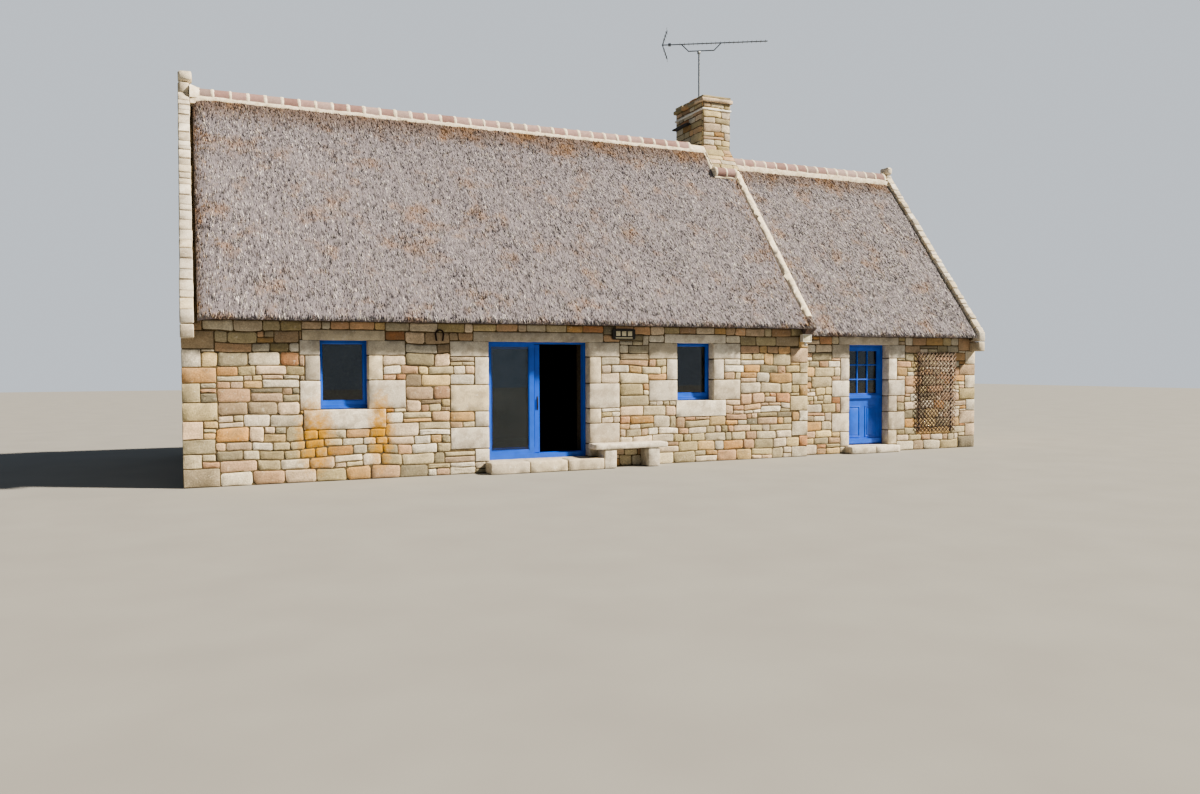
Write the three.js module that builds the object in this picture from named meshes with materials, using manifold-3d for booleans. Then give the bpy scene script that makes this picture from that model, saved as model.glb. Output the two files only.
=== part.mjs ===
// Thatched granite cottage: a main house, a lower wing on its right and a chimney on the wall between.
// Millimetres. While the pieces are made, X runs from the left gable's outer face to the right,
// Y from the front face into the house and Z up from the ground. The group then moves the origin
// to the middle of the base.

import * as THREE from 'three';
import { mergeVertices } from 'three/addons/utils/BufferGeometryUtils.js';
import Module from 'manifold-3d';

const wasm = await Module();
wasm.setup();

// Driving dimensions of the house
const LENGTH = 15740;
const DEPTH = 5800;
const WALL = 600;
const THATCH = 300;
const RIDGE_Y = DEPTH / 2;
const GAP = 0.3;
const MAIN_ROOF = roofSection({ eaves: 2500, apex: 6600, wallY: 0, overhang: 350 });
const LOW_ROOF = roofSection({ eaves: 2372, apex: 6360, wallY: 150, overhang: 280 });
const CROSS_WALL = { x0: 10470, x1: 11170 };
const GABLE_FACE_SETBACK = 25;

// Broad swells of the worn thatch: their height, their length along the house and up the slope, the
// plain band under the ridge, the distance over which they die out and the pitch of the faces
const SWELL = { height: 16, across: 2600, up: 2300, plain: 1100, fade: 600, pitch: 520 };

// Gable copings, verges and ridge
const LEFT_COPING = { x0: 0, x1: 200, stoneTop: 6925 };
const RIGHT_COPING = { x0: LENGTH - 190, x1: LENGTH, stoneTop: 6575 };
const COPING_RISE = 120;
const COPING_CRACK = 40;
const KNEELER_DROP = 300;
const KNEELER_PROUD = 20;
const APEX_STONE = 240;
const VERGE = { x0: 10970, x1: CROSS_WALL.x1, rise: 20 };
const RIDGE_TILE = { radius: 160, rise: 62, skirt: 10 };
const RIDGE_BED_HALF = 166;

// Chimney
const CHIMNEY = { x0: 10490, x1: CROSS_WALL.x1, y0: 2850, y1: 4070, shoulder: 2460, neckTop: 7578 };
const HAUNCH_RISE = 30;
const CAP = { thickness: 170, reach: 60 };
const FLUE = { width: 300, depth: 600, well: 900 };
const BAND = { z: 7415, thickness: 25, reach: 18 };
const DRIP_LEDGE = { y0: 3400, z: 7205, thickness: 30, reach: 110 };
const APRON = { x0: 10440, y: 2390, radius: 115, lift: 30 };

// Openings in the walls
const REVEAL = 197;
const HEAD = 2204;
const WINDOW_1 = { x0: 1964, x1: 2717, z0: 1113, z1: HEAD };
const WINDOW_2 = { x0: 8266, x1: 9051, z0: 1141, z1: HEAD };
const BACK_WINDOW_LEFT = { x0: 4370, x1: 5130, z0: 1113, z1: HEAD };
const BACK_WINDOW_RIGHT = { x0: 9120, x1: 9880, z0: 1113, z1: HEAD };
const LOW_BACK_WINDOW = { x0: 12850, x1: 13610, z0: 1113, z1: HEAD };
const PATIO = { x0: 4681, x1: 6527, z0: 190, z1: HEAD };
const DOOR = { x0: 12313, x1: 13340, z0: 140, z1: HEAD };
const DOOR_REBATE = 60;
const SILL_1 = { x0: 1717, x1: 2976, z0: 806, z1: WINDOW_1.z0 };
const SILL_2 = { x0: 8245, x1: 9310, z0: 844, z1: WINDOW_2.z0 };
const SILL_DEPTH = 240;
const SILL_PROUD = 20;

// Joinery
const FRAME_DEPTH = 60;
const WINDOW_BORDER = { side: 55, top: 50, bottom: 130 };
const GLASS = 8;
const PATIO_FRAME = { depth: 120, side: 40, top: 40, bottom: 80 };
const PATIO_LEAF = { thickness: 45, stile: 90, top: 65, bottom: 90 };
const FIXED_LEAF = { x1: 5567, y0: REVEAL + 10, rebate: 30 };
const SLIDING_LEAF = { x0: 4729, x1: 5684, y0: REVEAL + 65, topClearance: 8 };
const TRACK = { height: 10, width: 9 };
const DOOR_JAMB = 100;
const DOOR_CLEARANCE = 6;
const DOOR_LEAF_SETBACK = 10;
const DOOR_LEAF_THICKNESS = 50;
const DOOR_LEAF_BORDER = { side: 80, top: 70, glassBottom: 1190 };
const WEATHER_BOARD = { z0: 175, height: 90, reach: 45 };
const MID_RAIL = { z0: 1100, height: 60, reach: 35 };
const HINGE = { radius: 8, knuckle: 50, plate: 30, plateThickness: 5, heights: [420, 1150, 1880] };

// Floors, steps and bench
const FLOOR_MAIN = 150;
const FLOOR_LOW = 140;
const PATIO_STEP = { x0: 4610, x1: 6655, reach: 350 };
const DOOR_STEP = { x0: 12200, x1: 13450, reach: 250 };
const BENCH = { x0: 6486, x1: 7900, top: 430, slab: 100, depth: 350, blocks: [6665, 7510], block: 240 };

// Things on the walls and the chimney
const HORSESHOE = { x: 3850, z: 2285, outer: 80, inner: 55, leg: 85, thickness: 10, proud: 22, nail: 8 };
const LAMP = { x0: 6945, x1: 7390, z0: 2250, z1: 2440, depth: 60, corner: 35 };
const FLOODLIGHT = { x: 11045, z: 2310, width: 190, height: 145, depth: 90, arm: 70, armSize: 40 };
const TRELLIS = {
  x0: 14020,
  x1: 15160,
  z0: 360,
  z1: 2060,
  pitch: 280,
  slat: 14,
  depth: 12,
  batten: 30,
  inset: 130,
};
const MAST = { x: 11140, y: 4155, z0: 6990, z1: 9157, radius: 18, brackets: [7060, 7340], bracket: 30 };
const AERIAL = { z: 9334, back: -858, front: 1578, turn: -29.8, bar: 20, rod: 8, directors: 20 };

// A pitched roof over a wall whose outer face is at wallY: the height of the thatch's outer arris at
// the eaves and of the line where its top faces would meet. The thatch is cut level from the arris
// back to innerY, where the cut meets its underside. Its drop is its thickness measured plumb.
function roofSection({ eaves, apex, wallY, overhang }) {
  const arrisY = wallY - overhang;
  const slope = (apex - eaves) / (RIDGE_Y - arrisY);
  const rake = Math.hypot(1, slope);
  const drop = THATCH * rake;
  return {
    eaves,
    apex,
    wallY,
    arrisY,
    slope,
    drop,
    length: (RIDGE_Y - arrisY) * rake,
    innerY: RIDGE_Y - (apex - drop - eaves) / slope,
    seat: GAP * rake,
    angle: Math.atan(slope),
  };
}

function topOf(roof, y) {
  return roof.apex - roof.slope * Math.abs(y - RIDGE_Y);
}

function underOf(roof, y) {
  return topOf(roof, y) - roof.drop;
}

// Basic solids

function outline(points) {
  return new THREE.Shape(points.map(([u, v]) => new THREE.Vector2(u, v)));
}

function extruded(shape, length, curveSegments = 8) {
  return new THREE.ExtrudeGeometry(shape, { depth: length, bevelEnabled: false, curveSegments });
}

function placed(geometry, right, up, out, origin) {
  const turn = new THREE.Matrix4().makeBasis(right, up, out);
  return geometry.applyMatrix4(turn.setPosition(...origin));
}

const AXIS_X = new THREE.Vector3(1, 0, 0);
const AXIS_Y = new THREE.Vector3(0, 1, 0);
const AXIS_Z = new THREE.Vector3(0, 0, 1);

// A section on the front half, turned over to the back half
function mirrored(points) {
  return points.map(([y, z]) => [DEPTH - y, z]).reverse();
}

// A section drawn in Y and Z, run along X
function alongX(points, x0, x1) {
  return placed(extruded(outline(points), x1 - x0), AXIS_Y, AXIS_Z, AXIS_X, [x0, 0, 0]);
}

// A face drawn in X and Z, with thickness from y0 to y1
function alongY(shape, y0, y1, curveSegments) {
  const geometry = extruded(shape, y1 - y0, curveSegments);
  return placed(geometry, AXIS_X, AXIS_Z, AXIS_Y.clone().negate(), [0, y1, 0]);
}

// A plan drawn in X and Y, with height from z0 to z1
function alongZ(points, z0, z1) {
  return placed(extruded(outline(points), z1 - z0), AXIS_X, AXIS_Y, AXIS_Z, [0, 0, z0]);
}

function block(x0, x1, y0, y1, z0, z1) {
  const geometry = new THREE.BoxGeometry(x1 - x0, y1 - y0, z1 - z0);
  return geometry.translate((x0 + x1) / 2, (y0 + y1) / 2, (z0 + z1) / 2);
}

function post(x, y, z0, z1, radius, sides = 12) {
  const geometry = new THREE.CylinderGeometry(radius, radius, z1 - z0, sides);
  return geometry.rotateX(Math.PI / 2).translate(x, y, (z0 + z1) / 2);
}

function rectangle(x0, x1, z0, z1) {
  return [[x0, z0], [x1, z0], [x1, z1], [x0, z1]];
}

// A rectangular frame seen from the front, with its own width of border on each side
function ring(face, border, y0, y1) {
  const shape = outline(rectangle(face.x0, face.x1, face.z0, face.z1));
  const hole = insideOf(face, border);
  shape.holes.push(outline(rectangle(hole.x0, hole.x1, hole.z0, hole.z1)));
  return alongY(shape, y0, y1);
}

function insideOf(face, border) {
  return {
    x0: face.x0 + border.side,
    x1: face.x1 - border.side,
    z0: face.z0 + border.bottom,
    z1: face.z1 - border.top,
  };
}

function shrunk(face, by = GAP) {
  return { x0: face.x0 + by, x1: face.x1 - by, z0: face.z0 + by, z1: face.z1 - by };
}

// Joins and cuts

function toSolid(geometry) {
  const bare = geometry.clone();
  bare.deleteAttribute('normal');
  bare.deleteAttribute('uv');
  const merged = mergeVertices(bare, 1e-4);
  const mesh = new wasm.Mesh({
    numProp: 3,
    vertProperties: new Float32Array(merged.attributes.position.array),
    triVerts: new Uint32Array(merged.index.array),
  });
  return new wasm.Manifold(mesh);
}

function toGeometry(solid) {
  const { vertProperties, triVerts } = solid.getMesh();
  const geometry = new THREE.BufferGeometry();
  geometry.setAttribute('position', new THREE.BufferAttribute(vertProperties, 3));
  geometry.setIndex(new THREE.BufferAttribute(triVerts, 1));
  geometry.computeVertexNormals();
  return geometry;
}

function fused(...geometries) {
  return toGeometry(geometries.map(toSolid).reduce((whole, next) => whole.add(next)));
}

function carved(geometry, ...tools) {
  return toGeometry(tools.map(toSolid).reduce((rest, tool) => rest.subtract(tool), toSolid(geometry)));
}

// Finishes

function finish(color, roughness, metalness = 0, extra = {}) {
  return { color, roughness, metalness, ...extra };
}

const FINISHES = {
  rubble: finish(0xb09a78, 0.95),
  dressedStone: finish(0xc9c2b2, 0.9),
  thatch: finish(0x8a7c78, 1),
  tile: finish(0xc39483, 0.85),
  mortar: finish(0xd9cfba, 0.95),
  floor: finish(0x8d8375, 0.9),
  bluePaint: finish(0x1f4fb0, 0.45),
  glass: finish(0x9fb4c4, 0.05, 0, { transparent: true, opacity: 0.35 }),
  galvanised: finish(0x9a9c9d, 0.4, 0.9),
  iron: finish(0x3a3230, 0.75, 0.6),
  darkPlastic: finish(0x2e2b28, 0.6),
  whitePlastic: finish(0xe6e4de, 0.5),
  trellisWood: finish(0xa88672, 0.8),
};

const house = new THREE.Group();

function piece(name, geometry, finishName) {
  const mesh = new THREE.Mesh(geometry, new THREE.MeshStandardMaterial(FINISHES[finishName]));
  mesh.name = name;
  house.add(mesh);
}

// Gable walls

function gableSection(roof) {
  const half = [
    [roof.innerY, roof.eaves - roof.seat],
    [roof.wallY, roof.eaves - roof.seat],
    [roof.wallY, 0],
  ];
  return [[RIDGE_Y, underOf(roof, RIDGE_Y) - roof.seat], ...half, ...mirrored(half)];
}

piece('left_gable_wall', alongX(gableSection(MAIN_ROOF), GABLE_FACE_SETBACK, WALL), 'rubble');
piece('cross_gable_wall', alongX(gableSection(MAIN_ROOF), CROSS_WALL.x0, CROSS_WALL.x1), 'rubble');
const rightGable = alongX(gableSection(LOW_ROOF), LENGTH - WALL, LENGTH - GABLE_FACE_SETBACK);
piece('right_gable_wall', rightGable, 'rubble');

// Front and back walls. Their tops follow the underside of the thatch.

function wallTop(roof) {
  const insideY = roof.wallY + WALL;
  return [
    [insideY, underOf(roof, insideY) - roof.seat],
    [roof.innerY, roof.eaves - roof.seat],
    [roof.wallY, roof.eaves - roof.seat],
  ];
}

function frontSection(roof, bottom = 0) {
  return [[roof.wallY, bottom], [roof.wallY + WALL, bottom], ...wallTop(roof)];
}

function throughWall(hole, y) {
  return block(hole.x0, hole.x1, y - 1, y + WALL + 1, hole.z0, hole.z1);
}

function sillPocket(sill) {
  return block(sill.x0 - GAP, sill.x1 + GAP, -1, SILL_DEPTH + GAP, sill.z0 - GAP, sill.z1);
}

const frontLeft = alongX(frontSection(MAIN_ROOF), WALL + GAP, PATIO.x0);
const frontMiddle = alongX(frontSection(MAIN_ROOF), PATIO.x1, CROSS_WALL.x0 - GAP);
piece('front_wall_left', carved(frontLeft, throughWall(WINDOW_1, 0), sillPocket(SILL_1)), 'rubble');
piece('front_wall_middle', carved(frontMiddle, throughWall(WINDOW_2, 0), sillPocket(SILL_2)), 'rubble');
const patioLintel = alongX(frontSection(MAIN_ROOF, HEAD), PATIO.x0 + GAP, PATIO.x1 - GAP);
piece('patio_lintel', patioLintel, 'dressedStone');

// The hinged door stands in a wider rebate behind the outer reveal, so that it can swing inwards.
const rebateTop = HEAD + DOOR_REBATE;
const lowY = LOW_ROOF.wallY;
function doorRebate(x0, x1) {
  return block(x0, x1, lowY + REVEAL, lowY + WALL + 1, -1, rebateTop);
}
const lowLeft = alongX(frontSection(LOW_ROOF), CROSS_WALL.x1 + GAP, DOOR.x0);
const lowRight = alongX(frontSection(LOW_ROOF), DOOR.x1, LENGTH - WALL - GAP);
piece('low_front_wall_left', carved(lowLeft, doorRebate(DOOR.x0 - DOOR_REBATE, DOOR.x0 + 1)), 'rubble');
piece('low_front_wall_right', carved(lowRight, doorRebate(DOOR.x1 - 1, DOOR.x1 + DOOR_REBATE)), 'rubble');
const doorLintelSection = [
  [lowY, HEAD],
  [lowY + REVEAL, HEAD],
  [lowY + REVEAL, rebateTop],
  [lowY + WALL, rebateTop],
  ...wallTop(LOW_ROOF),
];
piece('door_lintel', alongX(doorLintelSection, DOOR.x0 + GAP, DOOR.x1 - GAP), 'dressedStone');

const backMain = alongX(mirrored(frontSection(MAIN_ROOF)), WALL + GAP, CROSS_WALL.x0 - GAP);
const backLow = alongX(mirrored(frontSection(LOW_ROOF)), CROSS_WALL.x1 + GAP, LENGTH - WALL - GAP);
const backY = DEPTH - WALL;
piece(
  'back_wall_main',
  carved(backMain, throughWall(BACK_WINDOW_LEFT, backY), throughWall(BACK_WINDOW_RIGHT, backY)),
  'rubble',
);
piece('back_wall_low', carved(backLow, throughWall(LOW_BACK_WINDOW, backY - lowY)), 'rubble');

// Floors, steps and sills

function floor(roof, x0, x1, top) {
  const edge = roof.wallY + WALL + GAP;
  return block(x0 + GAP, x1 - GAP, edge, DEPTH - edge, 0, top);
}
piece('floor_main', floor(MAIN_ROOF, WALL, CROSS_WALL.x0, FLOOR_MAIN), 'floor');
piece('floor_low', floor(LOW_ROOF, CROSS_WALL.x1, LENGTH - WALL, FLOOR_LOW), 'floor');

// A step outside the wall that runs on through the doorway as its threshold
const patioPlan = [
  [PATIO_STEP.x0, -PATIO_STEP.reach],
  [PATIO_STEP.x1, -PATIO_STEP.reach],
  [PATIO_STEP.x1, -GAP],
  [PATIO.x1 - GAP, -GAP],
  [PATIO.x1 - GAP, WALL - GAP],
  [PATIO.x0 + GAP, WALL - GAP],
  [PATIO.x0 + GAP, -GAP],
  [PATIO_STEP.x0, -GAP],
];
piece('patio_step', alongZ(patioPlan, 0, PATIO.z0), 'dressedStone');

const doorPlan = [
  [DOOR_STEP.x0, lowY - DOOR_STEP.reach],
  [DOOR_STEP.x1, lowY - DOOR_STEP.reach],
  [DOOR_STEP.x1, lowY - GAP],
  [DOOR.x1 - GAP, lowY - GAP],
  [DOOR.x1 - GAP, lowY + REVEAL + GAP],
  [DOOR.x1 + DOOR_REBATE - GAP, lowY + REVEAL + GAP],
  [DOOR.x1 + DOOR_REBATE - GAP, lowY + WALL - GAP],
  [DOOR.x0 - DOOR_REBATE + GAP, lowY + WALL - GAP],
  [DOOR.x0 - DOOR_REBATE + GAP, lowY + REVEAL + GAP],
  [DOOR.x0 + GAP, lowY + REVEAL + GAP],
  [DOOR.x0 + GAP, lowY - GAP],
  [DOOR_STEP.x0, lowY - GAP],
];
piece('door_step', alongZ(doorPlan, 0, DOOR.z0), 'dressedStone');

function sill(s) {
  return block(s.x0, s.x1, -SILL_PROUD, SILL_DEPTH, s.z0, s.z1 - GAP);
}
piece('window_1_sill', sill(SILL_1), 'dressedStone');
piece('window_2_sill', sill(SILL_2), 'dressedStone');

const benchOutline = [
  [BENCH.x0, BENCH.top - BENCH.slab],
  ...BENCH.blocks.flatMap((x) => [
    [x, BENCH.top - BENCH.slab],
    [x, 0],
    [x + BENCH.block, 0],
    [x + BENCH.block, BENCH.top - BENCH.slab],
  ]),
  [BENCH.x1, BENCH.top - BENCH.slab],
  [BENCH.x1, BENCH.top],
  [BENCH.x0, BENCH.top],
];
piece('stone_bench', alongY(outline(benchOutline), -BENCH.depth, -GAP), 'dressedStone');

// Thatch: one slab a slope, made thicker than it needs to be and then trimmed to its swelling surface,
// cut level at the eaves and notched round the chimney

function thatchSection(roof) {
  const meet = RIDGE_Y - GAP / 2;
  const spare = 3 * SWELL.height;
  return [
    [roof.arrisY - spare / roof.slope, roof.eaves],
    [roof.innerY, roof.eaves],
    [meet, underOf(roof, meet)],
    [meet, topOf(roof, meet) + spare],
  ];
}

// How far the thatch stands out from its plane, at x along the house and s up the slope
function swell(roof, x, s, phase) {
  const within = (distance) => THREE.MathUtils.clamp(distance / SWELL.fade, 0, 1);
  const fade = within(s) * within(roof.length - s - SWELL.plain);
  const across = (2 * Math.PI * x) / SWELL.across;
  const up = (2 * Math.PI * s) / SWELL.up;
  const broad = Math.sin(across + phase) * Math.cos(up + phase);
  const slanting = Math.sin(1.7 * across + 0.8 * up);
  return SWELL.height * fade * (0.6 * broad + 0.4 * slanting);
}

// What is trimmed off a slope that was made too thick: all between the swelling surface and a plane above it
function trimming(roof, x0, x1, back) {
  const stations = (from, to) => {
    const count = Math.ceil((to - from) / SWELL.pitch);
    return Array.from({ length: count + 1 }, (_, i) => from + ((to - from) * i) / count);
  };
  const xs = stations(x0 - 50, x1 + 50);
  const ss = stations(-200, roof.length + 400);
  const cosine = Math.cos(roof.angle);
  const sine = Math.sin(roof.angle);
  const positions = [];
  for (const top of [false, true]) {
    for (const x of xs) {
      for (const s of ss) {
        const n = top ? THATCH : swell(roof, x, s, back ? 2 : 0);
        const y = roof.arrisY + s * cosine - n * sine;
        positions.push(x, back ? DEPTH - y : y, roof.eaves + s * sine + n * cosine);
      }
    }
  }
  const rows = ss.length;
  const layer = xs.length * rows;
  const indices = [];
  const quad = (a, b, c, d) => {
    indices.push(...(back ? [a, c, b, a, d, c] : [a, b, c, a, c, d]));
  };
  const at = (i, j, top) => i * rows + j + (top ? layer : 0);
  for (let i = 0; i < xs.length - 1; i += 1) {
    for (let j = 0; j < rows - 1; j += 1) {
      quad(at(i, j), at(i, j + 1), at(i + 1, j + 1), at(i + 1, j));
      quad(at(i, j, true), at(i + 1, j, true), at(i + 1, j + 1, true), at(i, j + 1, true));
    }
    quad(at(i, 0), at(i + 1, 0), at(i + 1, 0, true), at(i, 0, true));
    quad(at(i, rows - 1), at(i, rows - 1, true), at(i + 1, rows - 1, true), at(i + 1, rows - 1));
  }
  const last = xs.length - 1;
  for (let j = 0; j < rows - 1; j += 1) {
    quad(at(0, j), at(0, j, true), at(0, j + 1, true), at(0, j + 1));
    quad(at(last, j), at(last, j + 1), at(last, j + 1, true), at(last, j, true));
  }
  const geometry = new THREE.BufferGeometry();
  geometry.setAttribute('position', new THREE.BufferAttribute(new Float32Array(positions), 3));
  geometry.setIndex(indices);
  return geometry;
}

function thatchSlope(roof, [x0, x1], back, ...cuts) {
  const section = thatchSection(roof);
  const slab = alongX(back ? mirrored(section) : section, x0, x1);
  return carved(slab, trimming(roof, x0, x1, back), ...cuts);
}

const mainX = [LEFT_COPING.x1 + COPING_CRACK, VERGE.x0 - GAP];
const lowX = [CROSS_WALL.x1 + GAP, RIGHT_COPING.x0 - COPING_CRACK];
const chimneyNotch = block(
  CHIMNEY.x0 - GAP,
  CHIMNEY.x1,
  CHIMNEY.shoulder - GAP,
  CHIMNEY.y1 + GAP,
  MAIN_ROOF.eaves,
  CHIMNEY.neckTop,
);
piece('thatch_main_front', thatchSlope(MAIN_ROOF, mainX, false, chimneyNotch), 'thatch');
piece('thatch_main_back', thatchSlope(MAIN_ROOF, mainX, true, chimneyNotch), 'thatch');
piece('thatch_low_front', thatchSlope(LOW_ROOF, lowX, false), 'thatch');
piece('thatch_low_back', thatchSlope(LOW_ROOF, lowX, true), 'thatch');

// Mortared verge down each slope where the main roof stops above the lower one

function vergeSection(y1) {
  return [
    [MAIN_ROOF.arrisY, MAIN_ROOF.eaves],
    [MAIN_ROOF.innerY, MAIN_ROOF.eaves],
    [y1, underOf(MAIN_ROOF, y1)],
    [y1, topOf(MAIN_ROOF, y1) + VERGE.rise],
    [MAIN_ROOF.arrisY, MAIN_ROOF.eaves + VERGE.rise],
  ];
}
const vergeFront = vergeSection(CHIMNEY.shoulder - GAP);
const vergeBack = mirrored(vergeSection(DEPTH - CHIMNEY.y1 - GAP));
piece('verge_front', alongX(vergeFront, VERGE.x0, VERGE.x1), 'mortar');
piece('verge_back', alongX(vergeBack, VERGE.x0, VERGE.x1), 'mortar');

// Gable copings with a kneeler at each foot and a stone on the apex

function copingSection(roof, stoneTop) {
  const rise = (y) => topOf(roof, y) + COPING_RISE;
  const kneeler = roof.eaves - KNEELER_DROP;
  const footY = roof.arrisY - KNEELER_PROUD;
  const half = [
    [RIDGE_Y - APEX_STONE / 2, stoneTop],
    [RIDGE_Y - APEX_STONE / 2, rise(RIDGE_Y - APEX_STONE / 2)],
    [footY, rise(footY)],
    [footY, kneeler],
    [roof.wallY - GAP, kneeler],
    [roof.wallY - GAP, roof.eaves],
    [roof.innerY, roof.eaves],
  ];
  return [...half, [RIDGE_Y, underOf(roof, RIDGE_Y)], ...mirrored(half)];
}
const leftCoping = copingSection(MAIN_ROOF, LEFT_COPING.stoneTop);
const rightCoping = copingSection(LOW_ROOF, RIGHT_COPING.stoneTop);
piece('left_coping', alongX(leftCoping, LEFT_COPING.x0, LEFT_COPING.x1), 'dressedStone');
piece('right_coping', alongX(rightCoping, RIGHT_COPING.x0, RIGHT_COPING.x1), 'dressedStone');

// Ridges: half-round tiles on a saddle of mortar, drawn as one section

function arcPoints(y, z, radius, from, to, steps) {
  return Array.from({ length: steps + 1 }, (_, i) => {
    const angle = from + ((to - from) * i) / steps;
    return [y + radius * Math.cos(angle), z + radius * Math.sin(angle)];
  });
}

function ridgeSection(roof) {
  const bed = (y) => topOf(roof, y) + roof.seat;
  const centre = roof.apex + RIDGE_TILE.rise - RIDGE_TILE.radius;
  const skirt = THREE.MathUtils.degToRad(RIDGE_TILE.skirt);
  return [
    [RIDGE_Y - RIDGE_BED_HALF, bed(RIDGE_Y - RIDGE_BED_HALF)],
    [RIDGE_Y, bed(RIDGE_Y)],
    [RIDGE_Y + RIDGE_BED_HALF, bed(RIDGE_Y + RIDGE_BED_HALF)],
    ...arcPoints(RIDGE_Y, centre, RIDGE_TILE.radius, -skirt, Math.PI + skirt, 12),
  ];
}
piece('ridge_main', alongX(ridgeSection(MAIN_ROOF), mainX[0], CHIMNEY.x0 - GAP), 'tile');
piece('ridge_low', alongX(ridgeSection(LOW_ROOF), lowX[0], lowX[1]), 'tile');

// Chimney on the cross wall: a shaft behind the ridge, a sloping haunch in front of it

function chimneyFoot(y) {
  return [y, underOf(MAIN_ROOF, y)];
}
const haunchTop = (y) => [y, topOf(MAIN_ROOF, y) + HAUNCH_RISE];
const stackSection = [
  chimneyFoot(CHIMNEY.shoulder),
  chimneyFoot(RIDGE_Y),
  chimneyFoot(CHIMNEY.y1),
  [CHIMNEY.y1, CHIMNEY.neckTop],
  [CHIMNEY.y0, CHIMNEY.neckTop],
  haunchTop(CHIMNEY.y0),
  haunchTop(CHIMNEY.shoulder),
];
const chimneyX = (CHIMNEY.x0 + CHIMNEY.x1) / 2;
const chimneyY = (CHIMNEY.y0 + CHIMNEY.y1) / 2;
const capTop = CHIMNEY.neckTop + GAP + CAP.thickness;
const flue = block(
  chimneyX - FLUE.width / 2,
  chimneyX + FLUE.width / 2,
  chimneyY - FLUE.depth / 2,
  chimneyY + FLUE.depth / 2,
  capTop - FLUE.well,
  capTop + 1,
);
function collar(reach, z0, z1) {
  return block(CHIMNEY.x0 - reach, CHIMNEY.x1 + reach, CHIMNEY.y0 - reach, CHIMNEY.y1 + reach, z0, z1);
}
const stack = fused(
  alongX(stackSection, CHIMNEY.x0, CHIMNEY.x1),
  collar(BAND.reach, BAND.z, BAND.z + BAND.thickness),
  block(
    CHIMNEY.x0 - DRIP_LEDGE.reach,
    CHIMNEY.x0 + DRIP_LEDGE.reach,
    DRIP_LEDGE.y0,
    CHIMNEY.y1,
    DRIP_LEDGE.z,
    DRIP_LEDGE.z + DRIP_LEDGE.thickness,
  ),
);
piece('chimney_stack', carved(stack, flue), 'rubble');
piece('chimney_cap', carved(collar(CAP.reach, CHIMNEY.neckTop + GAP, capTop), flue), 'dressedStone');

// A short row of half-round tiles covers the joint between the haunch and the thatch below it.
function apronSection() {
  const along = [Math.cos(MAIN_ROOF.angle), Math.sin(MAIN_ROOF.angle)];
  const out = [-along[1], along[0]];
  const reach = Math.asin(APRON.lift / APRON.radius);
  const local = arcPoints(0, APRON.lift, APRON.radius, -reach, Math.PI + reach, 12);
  return local.map(([s, n]) => [
    APRON.y + along[0] * s + out[0] * (n + GAP),
    topOf(MAIN_ROOF, APRON.y) + along[1] * s + out[1] * (n + GAP),
  ]);
}
const apronRow = alongX(apronSection(), APRON.x0, VERGE.x0 - GAP);
const clearOfHaunch = block(
  CHIMNEY.x0 - GAP,
  CHIMNEY.x1,
  CHIMNEY.shoulder - GAP,
  CHIMNEY.y0,
  MAIN_ROOF.eaves,
  CHIMNEY.neckTop,
);
piece('chimney_apron_tiles', carved(apronRow, clearOfHaunch), 'tile');

// Windows: one frame and one pane each

function windowPieces(name, hole, y0) {
  const frame = shrunk(hole);
  const pane = shrunk(insideOf(frame, WINDOW_BORDER));
  const middle = y0 + FRAME_DEPTH / 2;
  piece(`${name}_frame`, ring(frame, WINDOW_BORDER, y0, y0 + FRAME_DEPTH), 'bluePaint');
  const [near, far] = [middle - GLASS / 2, middle + GLASS / 2];
  piece(`${name}_glass`, block(pane.x0, pane.x1, near, far, pane.z0, pane.z1), 'glass');
}
const backFrameY = DEPTH - REVEAL - FRAME_DEPTH;
windowPieces('window_1', WINDOW_1, REVEAL);
windowPieces('window_2', WINDOW_2, REVEAL);
windowPieces('back_window_left', BACK_WINDOW_LEFT, backFrameY);
windowPieces('back_window_right', BACK_WINDOW_RIGHT, backFrameY);
windowPieces('low_back_window', LOW_BACK_WINDOW, backFrameY - lowY);

// Patio door: a fixed left leaf built into the frame and a right leaf that slides behind it

const patioFace = shrunk(PATIO);
const patioInside = insideOf(patioFace, PATIO_FRAME);
const fixedFace = {
  x0: patioInside.x0 - FIXED_LEAF.rebate,
  x1: FIXED_LEAF.x1,
  z0: patioInside.z0 - FIXED_LEAF.rebate,
  z1: patioInside.z1 + FIXED_LEAF.rebate,
};
const leafBorder = { side: PATIO_LEAF.stile, top: PATIO_LEAF.top, bottom: PATIO_LEAF.bottom };
const slidingFace = {
  x0: SLIDING_LEAF.x0,
  x1: SLIDING_LEAF.x1,
  z0: patioInside.z0 + TRACK.height + GAP,
  z1: patioInside.z1 - SLIDING_LEAF.topClearance,
};
const trackY = SLIDING_LEAF.y0 + PATIO_LEAF.thickness / 2;
const patioFrame = fused(
  ring(patioFace, PATIO_FRAME, REVEAL, REVEAL + PATIO_FRAME.depth),
  ring(fixedFace, leafBorder, FIXED_LEAF.y0, FIXED_LEAF.y0 + PATIO_LEAF.thickness),
  block(
    patioInside.x0 - 1,
    patioInside.x1 + 1,
    trackY - TRACK.width / 2,
    trackY + TRACK.width / 2,
    patioInside.z0 - 1,
    patioInside.z0 + TRACK.height,
  ),
);
piece('patio_door_frame', patioFrame, 'bluePaint');

function leafPane(name, face, y0) {
  const pane = shrunk(insideOf(face, leafBorder));
  const middle = y0 + PATIO_LEAF.thickness / 2;
  piece(name, block(pane.x0, pane.x1, middle - GLASS / 2, middle + GLASS / 2, pane.z0, pane.z1), 'glass');
}
const slidingY1 = SLIDING_LEAF.y0 + PATIO_LEAF.thickness;
leafPane('patio_fixed_glass', fixedFace, FIXED_LEAF.y0);
piece('patio_sliding_leaf', ring(slidingFace, leafBorder, SLIDING_LEAF.y0, slidingY1), 'bluePaint');
leafPane('patio_sliding_glass', slidingFace, SLIDING_LEAF.y0);

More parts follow.
